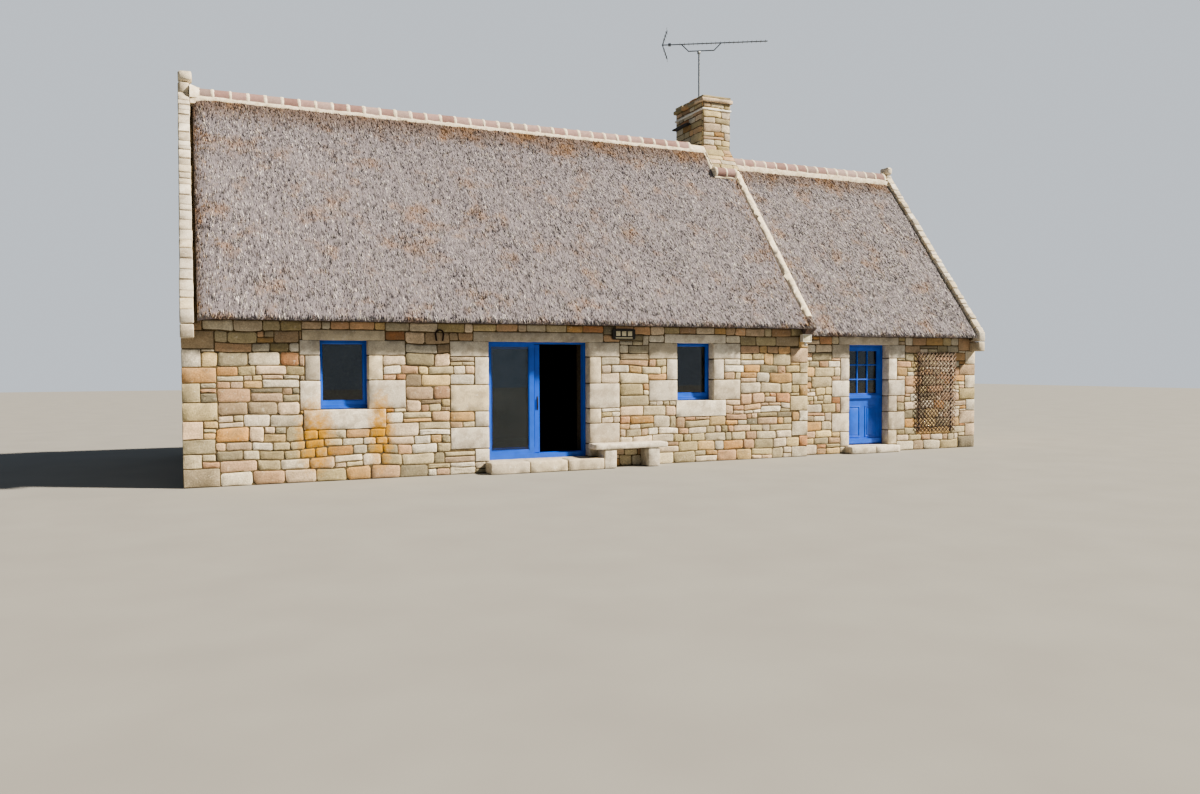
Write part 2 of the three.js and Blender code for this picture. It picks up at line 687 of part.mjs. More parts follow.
// Hinged door: frame behind the stone rebate, leaf hung on its right side, opening inwards

const frameX0 = DOOR.x0 - DOOR_REBATE + GAP;
const frameX1 = DOOR.x1 + DOOR_REBATE - GAP;
const jambX0 = frameX0 + DOOR_JAMB;
const jambX1 = frameX1 - DOOR_JAMB;
const headZ = rebateTop - GAP - DOOR_JAMB;
const doorFrameY0 = lowY + REVEAL + GAP;
const doorFrameY1 = doorFrameY0 + FRAME_DEPTH;
const doorFrameOutline = [
  [frameX0, DOOR.z0 + GAP],
  [jambX0, DOOR.z0 + GAP],
  [jambX0, headZ],
  [jambX1, headZ],
  [jambX1, DOOR.z0 + GAP],
  [frameX1, DOOR.z0 + GAP],
  [frameX1, rebateTop - GAP],
  [frameX0, rebateTop - GAP],
];
const leafFace = {
  x0: jambX0 + DOOR_CLEARANCE,
  x1: jambX1 - DOOR_CLEARANCE,
  z0: DOOR.z0 + DOOR_CLEARANCE,
  z1: headZ - DOOR_CLEARANCE,
};
const leafY0 = doorFrameY0 + DOOR_LEAF_SETBACK;
const leafY1 = leafY0 + DOOR_LEAF_THICKNESS;
const hingeX = jambX1 - DOOR_CLEARANCE / 2;
const hingeY = leafY1 + HINGE.plateThickness + HINGE.radius / 2;

// Half of each hinge belongs to the frame and half to the leaf: a plate and a knuckle on one axis.
function hingeHalf(z0, plateX0, plateX1) {
  const z1 = z0 + HINGE.knuckle;
  return [
    post(hingeX, hingeY, z0, z1, HINGE.radius),
    block(plateX0, plateX1, leafY1 - 1, leafY1 + HINGE.plateThickness, z0, z1),
  ];
}
const frameHinges = HINGE.heights.flatMap((z) => {
  return hingeHalf(z - HINGE.knuckle, hingeX + DOOR_CLEARANCE / 2 - 1, hingeX + HINGE.plate);
});
const leafHinges = HINGE.heights.flatMap((z) => hingeHalf(z + GAP, hingeX - HINGE.plate, hingeX - 2));
piece(
  'door_frame',
  fused(alongY(outline(doorFrameOutline), doorFrameY0, doorFrameY1), ...frameHinges),
  'bluePaint',
);

const leafOpening = {
  side: DOOR_LEAF_BORDER.side,
  top: DOOR_LEAF_BORDER.top,
  bottom: DOOR_LEAF_BORDER.glassBottom - leafFace.z0,
};
function leafRail(rail) {
  return block(
    leafFace.x0 + DOOR_LEAF_SETBACK,
    leafFace.x1 - DOOR_LEAF_SETBACK,
    leafY0 - rail.reach,
    leafY0 + 1,
    rail.z0,
    rail.z0 + rail.height,
  );
}
piece(
  'door_leaf',
  fused(
    ring(leafFace, leafOpening, leafY0, leafY1),
    leafRail(WEATHER_BOARD),
    leafRail(MID_RAIL),
    ...leafHinges,
  ),
  'bluePaint',
);
const doorPane = shrunk(insideOf(leafFace, leafOpening));
const leafMiddle = (leafY0 + leafY1) / 2;
const doorGlassY = [leafMiddle - GLASS / 2, leafMiddle + GLASS / 2];
piece('door_glass', block(doorPane.x0, doorPane.x1, ...doorGlassY, doorPane.z0, doorPane.z1), 'glass');

// Horseshoe, lamp and floodlight on the front wall

function horseshoeShape() {
  const upper = (radius) => arcPoints(HORSESHOE.x, HORSESHOE.z + 25, radius, 0, Math.PI, 12);
  const toe = HORSESHOE.z - HORSESHOE.leg;
  const turnIn = 18;
  const width = HORSESHOE.outer - HORSESHOE.inner;
  return outline([
    [HORSESHOE.x + HORSESHOE.outer - turnIn, toe],
    ...upper(HORSESHOE.outer),
    [HORSESHOE.x - HORSESHOE.outer + turnIn, toe],
    [HORSESHOE.x - HORSESHOE.outer + turnIn + width, toe],
    ...upper(HORSESHOE.inner).reverse(),
    [HORSESHOE.x + HORSESHOE.outer - turnIn - width, toe],
  ]);
}

function horseshoeNail(degrees) {
  const angle = THREE.MathUtils.degToRad(degrees);
  const radius = (HORSESHOE.outer + HORSESHOE.inner) / 2;
  const x = HORSESHOE.x + radius * Math.cos(angle);
  const z = HORSESHOE.z + 25 + radius * Math.sin(angle);
  const half = HORSESHOE.nail / 2;
  return block(x - half, x + half, -HORSESHOE.proud - 1, -GAP, z - half, z + half);
}
const shoe = alongY(horseshoeShape(), -HORSESHOE.proud - HORSESHOE.thickness, -HORSESHOE.proud);
piece('horseshoe', fused(shoe, ...[10, 60, 120, 170].map(horseshoeNail)), 'iron');

function roundedRectangle(x0, x1, z0, z1, corner) {
  const shape = new THREE.Shape();
  shape.moveTo(x0 + corner, z0);
  shape.lineTo(x1 - corner, z0);
  shape.absarc(x1 - corner, z0 + corner, corner, -Math.PI / 2, 0);
  shape.lineTo(x1, z1 - corner);
  shape.absarc(x1 - corner, z1 - corner, corner, 0, Math.PI / 2);
  shape.lineTo(x0 + corner, z1);
  shape.absarc(x0 + corner, z1 - corner, corner, Math.PI / 2, Math.PI);
  shape.lineTo(x0, z0 + corner);
  shape.absarc(x0 + corner, z0 + corner, corner, Math.PI, Math.PI * 1.5);
  return shape;
}
const lampShape = roundedRectangle(LAMP.x0, LAMP.x1, LAMP.z0, LAMP.z1, LAMP.corner);
piece('wall_lamp', alongY(lampShape, -LAMP.depth, -GAP, 4), 'darkPlastic');

function floodlight() {
  const half = FLOODLIGHT.width / 2;
  const headY = -FLOODLIGHT.arm - FLOODLIGHT.depth;
  const z0 = FLOODLIGHT.z - FLOODLIGHT.height / 2;
  const z1 = FLOODLIGHT.z + FLOODLIGHT.height / 2;
  const arm = FLOODLIGHT.armSize / 2;
  const head = block(FLOODLIGHT.x - half, FLOODLIGHT.x + half, headY, -FLOODLIGHT.arm, z0, z1);
  const stem = block(
    FLOODLIGHT.x - arm,
    FLOODLIGHT.x + arm,
    -FLOODLIGHT.arm - 1,
    -GAP,
    FLOODLIGHT.z - arm,
    FLOODLIGHT.z + arm,
  );
  return fused(head, stem);
}
piece('floodlight', floodlight(), 'whitePlastic');

// Diamond trellis: slats both ways, trimmed to the panel, on two battens that hold it off the stones

function trellis() {
  const width = TRELLIS.x1 - TRELLIS.x0;
  const height = TRELLIS.z1 - TRELLIS.z0;
  const long = width + height;
  const slats = [];
  const y1 = lowY - TRELLIS.batten;
  const y0 = y1 - TRELLIS.depth;
  const addSlat = (x, turn) => {
    const slat = block(-long, long, y0, y1, -TRELLIS.slat / 2, TRELLIS.slat / 2);
    slats.push(slat.rotateY(turn).translate(x, 0, TRELLIS.z0));
  };
  for (let x = -height; x <= width; x += TRELLIS.pitch) {
    addSlat(TRELLIS.x0 + x + (height % TRELLIS.pitch), -Math.PI / 4);
  }
  for (let x = 0; x <= long; x += TRELLIS.pitch) {
    addSlat(TRELLIS.x0 + x + (width % TRELLIS.pitch), Math.PI / 4);
  }
  const panel = block(TRELLIS.x0, TRELLIS.x1, y0, y1, TRELLIS.z0, TRELLIS.z1);
  const lattice = slats.map(toSolid).reduce((whole, next) => whole.add(next)).intersect(toSolid(panel));
  const battens = [TRELLIS.x0 + TRELLIS.inset, TRELLIS.x1 - TRELLIS.inset].map((x) => {
    const half = TRELLIS.batten / 2;
    return block(x - half, x + half, y1 - 1, lowY - GAP, TRELLIS.z0 + half, TRELLIS.z1 - half);
  });
  return toGeometry(battens.map(toSolid).reduce((whole, next) => whole.add(next), lattice));
}
piece('wall_trellis', trellis(), 'trellisWood');

// Television aerial on a mast held to the chimney's back face

function bar(from, to, size) {
  const [a, b] = [new THREE.Vector3(...from), new THREE.Vector3(...to)];
  const geometry = new THREE.BoxGeometry(a.distanceTo(b) + size, size, size);
  const turn = new THREE.Quaternion().setFromUnitVectors(AXIS_X, b.clone().sub(a).normalize());
  return geometry.applyQuaternion(turn).translate(...a.add(b).divideScalar(2).toArray());
}

function aerial() {
  const support = { x0: -413, x1: 519, inset: 170, drop: AERIAL.z - MAST.z1 - AERIAL.bar / 2 - GAP };
  const reflector = { forward: 110, reach: 320, rods: 4, length: 440 };
  const [inner, outer] = [support.x0 + support.inset, support.x1 - support.inset];
  const box = { x: AERIAL.back + 170, half: 30 };
  const director = { x0: -445, x1: AERIAL.front - 40, length: 190 };
  const parts = [
    bar([AERIAL.back, 0, 0], [AERIAL.front, 0, 0], AERIAL.bar),
    bar([support.x0, 0, 0], [inner, 0, -support.drop], AERIAL.bar),
    bar([inner, 0, -support.drop], [outer, 0, -support.drop], AERIAL.bar),
    bar([outer, 0, -support.drop], [support.x1, 0, 0], AERIAL.bar),
    block(box.x - box.half, box.x + box.half, -box.half, box.half, -box.half, box.half),
  ];
  for (const side of [-1, 1]) {
    const tip = [AERIAL.back + reflector.forward, 0, side * reflector.reach];
    parts.push(bar([AERIAL.back, 0, 0], tip, AERIAL.bar));
    for (let i = 1; i <= reflector.rods; i += 1) {
      const t = i / reflector.rods;
      const x = AERIAL.back + reflector.forward * t;
      const z = tip[2] * t;
      parts.push(bar([x, -reflector.length / 2, z], [x, reflector.length / 2, z], AERIAL.rod));
    }
  }
  const step = (director.x1 - director.x0) / (AERIAL.directors - 1);
  for (let i = 0; i < AERIAL.directors; i += 1) {
    const x = director.x0 + i * step;
    parts.push(bar([x, -director.length / 2, 0], [x, director.length / 2, 0], AERIAL.rod));
  }
  const turn = THREE.MathUtils.degToRad(AERIAL.turn);
  return fused(...parts.map((part) => part.rotateZ(turn).translate(MAST.x, MAST.y, AERIAL.z)));
}

function aerialMast() {
  const half = MAST.bracket / 2;
  const brackets = MAST.brackets.map((z) => {
    return block(MAST.x - half, MAST.x + half, CHIMNEY.y1 + GAP, MAST.y, z, z + MAST.bracket);
  });
  return fused(post(MAST.x, MAST.y, MAST.z0, MAST.z1, MAST.radius), ...brackets);
}
piece('aerial_mast', aerialMast(), 'galvanised');
piece('aerial', aerial(), 'galvanised');

// Origin at the middle of the base
house.position.set(-LENGTH / 2, -RIDGE_Y, 0);

export default house;
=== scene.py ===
"""Looks of a thatched granite cottage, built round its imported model.

Metres in the row frame: X along the house, Y from the front to the back, Z up from the ground.
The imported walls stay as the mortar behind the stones, and each stone, reed, tile and bar is modelled.
"""

import math

import bmesh
import bpy
import numpy as np
from bpy.props import FloatProperty, FloatVectorProperty, PointerProperty
from mathutils import Matrix, Vector


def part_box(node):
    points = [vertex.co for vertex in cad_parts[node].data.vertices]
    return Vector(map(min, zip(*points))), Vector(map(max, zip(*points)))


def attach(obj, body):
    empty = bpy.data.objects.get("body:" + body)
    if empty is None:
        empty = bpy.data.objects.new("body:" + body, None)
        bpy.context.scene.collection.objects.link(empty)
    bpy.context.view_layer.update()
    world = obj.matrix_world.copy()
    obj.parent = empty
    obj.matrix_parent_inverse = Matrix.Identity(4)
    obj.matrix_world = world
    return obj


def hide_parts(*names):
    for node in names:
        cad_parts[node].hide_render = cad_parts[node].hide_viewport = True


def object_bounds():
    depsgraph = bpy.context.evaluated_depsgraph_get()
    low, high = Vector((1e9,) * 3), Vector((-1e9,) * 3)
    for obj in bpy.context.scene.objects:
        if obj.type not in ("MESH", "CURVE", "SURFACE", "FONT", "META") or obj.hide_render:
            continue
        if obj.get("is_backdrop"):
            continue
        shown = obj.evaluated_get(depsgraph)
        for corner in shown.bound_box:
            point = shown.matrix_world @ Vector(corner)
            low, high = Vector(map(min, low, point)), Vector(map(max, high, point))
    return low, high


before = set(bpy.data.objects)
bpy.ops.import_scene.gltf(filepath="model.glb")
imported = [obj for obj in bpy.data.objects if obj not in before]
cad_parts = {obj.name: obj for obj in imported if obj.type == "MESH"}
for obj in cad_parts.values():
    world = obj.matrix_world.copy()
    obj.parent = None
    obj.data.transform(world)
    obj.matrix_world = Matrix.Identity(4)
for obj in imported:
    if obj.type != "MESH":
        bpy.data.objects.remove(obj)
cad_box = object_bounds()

bl_info = {
    "name": "Thatched cottage",
    "version": (1, 0, 0),
    "blender": (4, 5, 0),
    "location": "View3D > Sidebar > Cottage",
    "description": "Builds the stones, thatch, tiles and joinery of a granite cottage round its model",
    "category": "Add Mesh",
}

HOUSE = "house"
UP = np.array([0.0, 0.0, 1.0])


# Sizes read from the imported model


def corner_low(node):
    return np.array(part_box(node)[0])


def corner_high(node):
    return np.array(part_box(node)[1])


MAIN_FRONT = corner_low("front_wall_left")[1]
MAIN_BACK = corner_high("back_wall_main")[1]
LOW_FRONT = corner_low("low_front_wall_left")[1]
LOW_BACK = corner_high("back_wall_low")[1]
LEFT_FACE = corner_low("left_gable_wall")[0]
RIGHT_FACE = corner_high("right_gable_wall")[0]
CROSS_FACE = corner_high("cross_gable_wall")[0]
MAIN_EAVES = corner_low("thatch_main_front")[2]
LOW_EAVES = corner_low("thatch_low_front")[2]
HEAD = corner_low("patio_lintel")[2]
# How deep the reveals are, and the gap that the model leaves between parts that touch
REVEAL, SEAT = 0.195, 0.0003
# Measured square to the slope
THATCH_DEPTH = 0.3


class Roof:
    """One pitched roof: the slope of its thatch, and places on it."""

    def __init__(self, front):
        low, high = corner_low(front), corner_high(front)
        self.x0, self.x1 = low[0], high[0]
        self.arris = low[1]
        self.eaves = low[2]
        self.apex = high[2]
        self.slope = (self.apex - self.eaves) / -self.arris
        self.rake = math.hypot(1, self.slope)
        self.drop = THATCH_DEPTH * self.rake
        self.length = -self.arris * self.rake
        self.along = np.array([0.0, 1.0, self.slope]) / self.rake
        self.out = np.array([0.0, -self.slope, 1.0]) / self.rake

    def top(self, y):
        return self.apex - self.slope * abs(y)

    def point(self, x, s, n=0.0):
        """A point on the front slope: x along the house, s up the slope from the arris, n out from it."""
        base = np.array([0.0, self.arris, self.eaves])
        x, s, n = np.broadcast_arrays(x, s, n)
        out = base + s[..., None] * self.along + n[..., None] * self.out
        out[..., 0] = x
        return out


MAIN_ROOF = Roof("thatch_main_front")
LOW_ROOF = Roof("thatch_low_front")


# Materials

MATH = "ShaderNodeMath"
RAMP = "ShaderNodeValToRGB"
THATCH_SHADES = ("#6b6872", "#a3a0a8", "#c5c2c7", "#dedad8", "#f3eee6")
# The thatch body's shades, darker than the reeds': painted shade in the gaps between them
THATCH_SHADOWS = ("#7b757c", "#979096", "#b3aba9")
# Two streaks below the sill of the left window: x and z of the middle, then the reach along and up
LICHEN_STREAKS = ((-5.98, 0.7, 0.34, 0.66), (-4.98, 0.78, 0.24, 0.7))


def linear(hex_colour):
    """sRGB hex to the linear values that the shader takes."""
    values = [int(hex_colour[i : i + 2], 16) / 255 for i in (1, 3, 5)]
    return tuple(v / 12.92 if v <= 0.04045 else ((v + 0.055) / 1.055) ** 2.4 for v in values)


def rgba(hex_colour):
    return (*linear(hex_colour), 1.0)


def add(owner, kind, inputs=None, out=0, stops=None, **settings):
    """Adds one node to a material or world, and gives one of its outputs.

    Inputs are values, or the outputs that feed them. Stops are a ramp's places and colours."""
    tree = owner.node_tree
    node = tree.nodes.new(kind)
    for name, value in settings.items():
        setattr(node, name, value)
    for name, value in (inputs or {}).items():
        if isinstance(value, bpy.types.NodeSocket):
            tree.links.new(value, node.inputs[name])
        else:
            node.inputs[name].default_value = value
    if stops:
        elements = node.color_ramp.elements
        for place, colour in stops[2:]:
            elements.new(place)
        for element, (place, colour) in zip(elements, sorted(stops)):
            element.position = place
            element.color = rgba(colour) if isinstance(colour, str) else (colour, colour, colour, 1.0)
    return node.outputs[out]


def new_material(name, **shader):
    """A material with its shader's constant values set straight on their sockets."""
    material = bpy.data.materials.new(name)
    material.use_nodes = True
    bsdf = material.node_tree.nodes["Principled BSDF"]
    for socket, value in shader.items():
        bsdf.inputs[socket.replace("_", " ")].default_value = value
    return material


def feed(material, socket, output):
    bsdf = material.node_tree.nodes["Principled BSDF"]
    material.node_tree.links.new(output, bsdf.inputs[socket])


def pattern(material, size_mm, detail=2.0, roughness=0.5, stops=None, stretch=None):
    """Blobs that measure about size_mm on the object, as a ramp's colours where stops are given.

    Every piece has its origin at the row frame's origin, so its object coordinates are metres there."""
    place = add(material, "ShaderNodeTexCoord", out="Object")
    if stretch:
        place = add(material, "ShaderNodeMapping", {"Vector": place, "Scale": stretch})
    inputs = {"Vector": place, "Scale": 1000 / size_mm, "Detail": detail, "Roughness": roughness}
    blobs = add(material, "ShaderNodeTexNoise", inputs)
    return add(material, RAMP, {"Fac": blobs}, stops=stops) if stops else blobs


def lay(material, below, above, strength, mask=None, blend="MIX"):
    """Lays a colour over another to a strength, and only where the mask is 1 if there is one."""
    factor = strength
    if mask is not None:
        factor = add(material, MATH, {0: mask, 1: strength}, operation="MULTIPLY")
    inputs = {"Factor": factor, 6: below, 7: above}
    return add(material, "ShaderNodeMix", inputs, out=2, data_type="RGBA", blend_type=blend)


def relief(material, size_mm, height_mm, detail, roughness, stretch=None):
    """Raises the surface in bumps of a size and a height."""
    height = pattern(material, size_mm, detail, roughness, stretch=stretch)
    inputs = {"Height": height, "Distance": height_mm / 1000, "Strength": 1.0}
    feed(material, "Normal", add(material, "ShaderNodeBump", inputs))


def mottled(name, body, grain=None, **shader):
    """A material of one mottled colour. Body is what its pattern takes, and grain what its relief takes."""
    material = new_material(name, **shader)
    feed(material, "Base Color", pattern(material, *body))
    if grain:
        relief(material, *grain)
    return material


def tint(material):
    """The three random numbers that each stone, reed or tile carries."""
    carried = add(material, "ShaderNodeAttribute", attribute_name="tint", attribute_type="GEOMETRY")
    return tuple(add(material, "ShaderNodeSeparateColor", {"Color": carried}).node.outputs)


def streak(material, x, z, reach_x, reach_z):
    """1 at a place on the front wall, fading to 0 over its reach, with a ragged edge."""
    place = add(material, "ShaderNodeTexCoord", out="Object")
    inputs = {"Vector": place, "Scale": (1 / reach_x, 0.0, 1 / reach_z)}
    inputs["Location"] = (-x / reach_x, 0.0, -z / reach_z)
    offset = add(material, "ShaderNodeMapping", inputs)
    dot = {"out": "Value", "operation": "DOT_PRODUCT"}
    distance = add(material, "ShaderNodeVectorMath", {0: offset, 1: offset}, **dot)
    ragged = add(material, MATH, {0: pattern(material, 70, 4.0, 0.75), 1: 2.0}, operation="MULTIPLY")
    patch = add(material, MATH, {0: ragged, 1: distance}, operation="SUBTRACT", use_clamp=True)
    depth = add(material, "ShaderNodeSeparateXYZ", {"Vector": place}, out="Y")
    in_front = add(material, MATH, {0: depth, 1: 0.0}, operation="LESS_THAN")
    return add(material, MATH, {0: patch, 1: in_front}, operation="MULTIPLY")


def lichened(material, colour):
    """Golden lichen in two streaks down from the sill of the left window."""
    first, second = (streak(material, *values) for values in LICHEN_STREAKS)
    both = add(material, MATH, {0: first, 1: second}, operation="MAXIMUM")
    return lay(material, colour, rgba("#bd8a1c"), 0.9, both)


def rubble_granite():
    """Weathered granite, split by hand: grainy and matt, every stone of its own colour, cream to rust."""
    material = new_material("split_granite_rubble", Roughness=0.92, IOR=1.5)
    hue, value = tint(material)[:2]
    stone = add(material, RAMP, {"Fac": hue}, stops=[
        (0.0, "#e2d5b6"), (0.14, "#a99b74"), (0.28, "#eee7d6"), (0.4, "#cb9c62"), (0.52, "#ddcb9c"),
        (0.64, "#96907c"), (0.76, "#d3ab86"), (0.88, "#e6dec8"), (1.0, "#b98052"),
    ])
    # Feldspar and mica grains of 3 to 8 mm, drawn coarse enough to show as mottling
    grain = pattern(material, 22, 5.0, 0.75, [(0.3, 0.5), (0.7, 1.15)])
    speckled = lay(material, stone, grain, 0.9, blend="MULTIPLY")
    stain = pattern(material, 160, 4.0, 0.65, [(0.42, 0.0), (0.62, 1.0)])
    stained = lay(material, speckled, rgba("#857862"), 0.35, stain)
    brightness = add(material, MATH, {0: value, 1: 0.48, 2: 0.76}, operation="MULTIPLY_ADD")
    shaded = lay(material, stained, brightness, 1.0, blend="MULTIPLY")
    lichen = pattern(material, 60, 6.0, 0.7, [(0.6, 0.0), (0.68, 1.0)])
    feed(material, "Base Color", lichened(material, lay(material, shaded, rgba("#ded8c6"), 0.45, lichen)))
    relief(material, 22, 9, 6.0, 0.7)
    return material


def dressed_granite():
    """Pick-dressed pale granite: grey-cream with dark specks, soft from weather, patched with lichen."""
    material = new_material("dressed_granite", Roughness=0.9, IOR=1.5)
    hue, value = tint(material)[:2]
    shades = [(0.0, "#d6cbb4"), (0.35, "#e3dccd"), (0.7, "#cac1b0"), (1.0, "#e2d4b4")]
    stone = add(material, RAMP, {"Fac": hue}, stops=shades)
    grain = pattern(material, 16, 5.0, 0.8, [(0.32, 0.55), (0.62, 1.08)])
    speckled = lay(material, stone, grain, 0.8, blend="MULTIPLY")
    patches = pattern(material, 130, 5.0, 0.68, [(0.45, 0.0), (0.6, 1.0)])
    weathered = lay(material, speckled, rgba("#9a8d7a"), 0.45, patches)
    lichen = pattern(material, 75, 6.0, 0.7, [(0.58, 0.0), (0.66, 1.0)])
    pale = lay(material, weathered, rgba("#e8e4d8"), 0.5, lichen)
    brightness = add(material, MATH, {0: value, 1: 0.3, 2: 0.85}, operation="MULTIPLY_ADD")
    shaded = lay(material, pale, brightness, 1.0, blend="MULTIPLY")
    feed(material, "Base Color", lichened(material, shaded))
    relief(material, 16, 5, 6.0, 0.72)
    return material


def wall_mortar():
    """Old lime and earth mortar, raked back: dull ochre between the stones, darker where it is damp."""
    body = (45, 5.0, 0.7, [(0.3, "#463c2f"), (0.55, "#64573f"), (0.75, "#85775d")])
    return mottled("raked_lime_mortar", body, (8, 6, 6.0, 0.8), Roughness=0.97, IOR=1.45)


def pale_mortar(name, dark, middle, light):
    """Trowelled lime mortar of the ridge and verge: slightly sandy, greyed by weather."""
    body = (70, 6.0, 0.72, [(0.3, dark), (0.5, middle), (0.7, light)])
    return mottled(name, body, (10, 5, 5.0, 0.7), Roughness=0.93, IOR=1.45)


def reed_thatch(name, shades):
    """Weathered water reed: matt greyed stalks, warmer and browner near the ridge and the verges."""
    material = new_material(name, Roughness=0.95, IOR=1.4)
    hue, value, warmth = tint(material)
    greys = [(i / (len(shades) - 1), shade) for i, shade in enumerate(shades)]
    browns = [(0.0, "#6e5545"), (0.4, "#9c7a5c"), (0.75, "#c49a70"), (1.0, "#e0bd8e")]
    grey, brown = (add(material, RAMP, {"Fac": hue}, stops=stops) for stops in (greys, browns))
    patches = pattern(material, 520, 4.0, 0.62, [(0.48, 0.0), (0.68, 0.6)])
    warmer = add(material, MATH, {0: warmth, 1: 0.25}, operation="SUBTRACT")
    factor = add(material, MATH, {0: patches, 1: warmer}, operation="ADD", use_clamp=True)
    coloured = lay(material, grey, brown, factor)
    # Stalks lie down the slope, so the streaks are four times longer that way than across
    down = (1.0, 0.25, 0.25)
    streaks = pattern(material, 42, 5.0, 0.85, [(0.36, 0.2), (0.5, 1.0), (0.66, 1.3)], down)
    streaked = lay(material, coloured, streaks, 0.95, blend="MULTIPLY")
    feed(material, "Base Color", lay(material, streaked, value, 1.0, blend="MULTIPLY"))
    relief(material, 14, 9, 4.0, 0.7, down)
    return material


def terracotta():
    """Unglazed pressed clay ridge tile: pinkish, matt, with pale bloom and grey weather stains."""
    material = new_material("pressed_terracotta", Roughness=0.85, IOR=1.5)
    shades = [(0.0, "#8a6c65"), (0.4, "#a0827c"), (0.7, "#ad9791"), (1.0, "#887671")]
    clay = add(material, RAMP, {"Fac": tint(material)[0]}, stops=shades)
    cloud = pattern(material, 60, 5.0, 0.68, [(0.35, 0.78), (0.65, 1.08)])
    fired = lay(material, clay, cloud, 0.8, blend="MULTIPLY")
    stain = pattern(material, 110, 5.0, 0.7, [(0.56, 0.0), (0.68, 1.0)])
    feed(material, "Base Color", lay(material, fired, rgba("#8e8078"), 0.35, stain))
    relief(material, 7, 2, 4.0, 0.6)
    return material


def slate():
    """Split slate: blue-grey, in thin layers that catch the light along their edges."""
    body = (50, 5.0, 0.7, [(0.3, "#2c2f36"), (0.7, "#4a4d55")])
    return mottled("split_slate", body, (25, 3, 5.0, 0.7), Roughness=0.7, IOR=1.5)


def brushed_paint(colour):
    """Blue gloss paint brushed on softwood: smooth and reflecting, chalky and paler where weathered."""
    material = new_material("brushed_gloss_paint", IOR=1.5, Coat_Weight=0.25, Coat_Roughness=0.12)
    cloud = pattern(material, 210, 4.0, 0.6, [(0.35, 0.86), (0.65, 1.1)])
    painted = lay(material, (*colour, 1.0), cloud, 0.8, blend="MULTIPLY")
    chalk = pattern(material, 38, 6.0, 0.75, [(0.62, 0.0), (0.74, 1.0)])
    feed(material, "Base Color", lay(material, painted, rgba("#7fa3d8"), 0.22, chalk))
    inputs = {0: pattern(material, 60, 4.0, 0.6), 1: 0.25, 2: 0.24}
    feed(material, "Roughness", add(material, MATH, inputs, operation="MULTIPLY_ADD"))
    # Brush marks about 3 mm apart run up the boards
    relief(material, 5, 0.5, 2.0, 0.5, (1.0, 1.0, 0.05))
    return material


def float_glass():
    """Clear float glass: flat and smooth, faintly blue-green in places."""
    body = (400, 2.0, 0.5, [(0.3, "#aebfca"), (0.7, "#c4d2da")])
    return mottled("float_glass", body, Roughness=0.0, IOR=1.52, Transmission_Weight=1.0)


def galvanised():
    """Hot-dip galvanised steel gone dull: soft grey metal with pale zinc blooms."""
    body = (18, 5.0, 0.7, [(0.3, "#6f7375"), (0.7, "#a2a6a8")])
    material = mottled("dull_galvanised_steel", body, Metallic=0.85)
    inputs = {0: pattern(material, 12), 1: 0.3, 2: 0.35}
    feed(material, "Roughness", add(material, MATH, inputs, operation="MULTIPLY_ADD"))
    return material


def rusty_iron():
    """Forged iron under old rust: dark brown and rough, nearly black where it was hammered."""
    body = (9, 6.0, 0.75, [(0.3, "#1f1a19"), (0.6, "#3c2c26"), (0.8, "#6a4632")])
    return mottled("rusted_forged_iron", body, (4, 1.2, 5.0, 0.7), Roughness=0.85, Metallic=0.3)


def moulded_plastic(name, dark, light, roughness):
    """Injection moulded ABS, fine grained and slightly greyed by sun."""
    body = (40, 4.0, 0.6, [(0.3, dark), (0.7, light)])
    return mottled(name, body, (2, 0.15, 2.0, 0.5), Roughness=roughness, IOR=1.54)


def sawn_softwood():
    """Sawn softwood slats left to weather: brown going grey, with grain along the slat."""
    material = new_material("weathered_softwood", Roughness=0.85, IOR=1.5)
    shades = [(0.0, "#5c4a40"), (0.5, "#6f5c4f"), (1.0, "#6b6059")]
    wood = add(material, RAMP, {"Fac": tint(material)[0]}, stops=shades)
    wear = pattern(material, 30, 5.0, 0.7, [(0.35, 0.8), (0.65, 1.1)])
    feed(material, "Base Color", lay(material, wood, wear, 0.8, blend="MULTIPLY"))
    relief(material, 3, 0.6, 4.0, 0.7)
    return material


def stone_flags():
    """Worn stone flags, about 0.5 m by 0.35 m, with thin dark joints."""
    material = new_material("worn_stone_flags", Roughness=0.8, IOR=1.5)
    flags = add(material, "ShaderNodeTexBrick", {
        "Vector": add(material, "ShaderNodeTexCoord", out="Object"), "Scale": 1.0, "Mortar Size": 0.008,
        "Brick Width": 0.5, "Row Height": 0.35, "Color1": rgba("#7d7263"), "Color2": rgba("#92877a"),
        "Mortar": rgba("#4b4239"),
    })
    wear = pattern(material, 90, 5.0, 0.7, [(0.3, 0.75), (0.7, 1.1)])
    feed(material, "Base Color", lay(material, flags, wear, 0.8, blend="MULTIPLY"))
    relief(material, 30, 2, 5.0, 0.7)
    return material


def opal_glass():
    """Opal diffuser of a wall lamp: milky, slightly yellowed."""
    body = (30, 2.0, 0.5, [(0.3, "#c9c3a6"), (0.7, "#e2dcc2")])
    return mottled("opal_diffuser", body, Roughness=0.4, IOR=1.49)


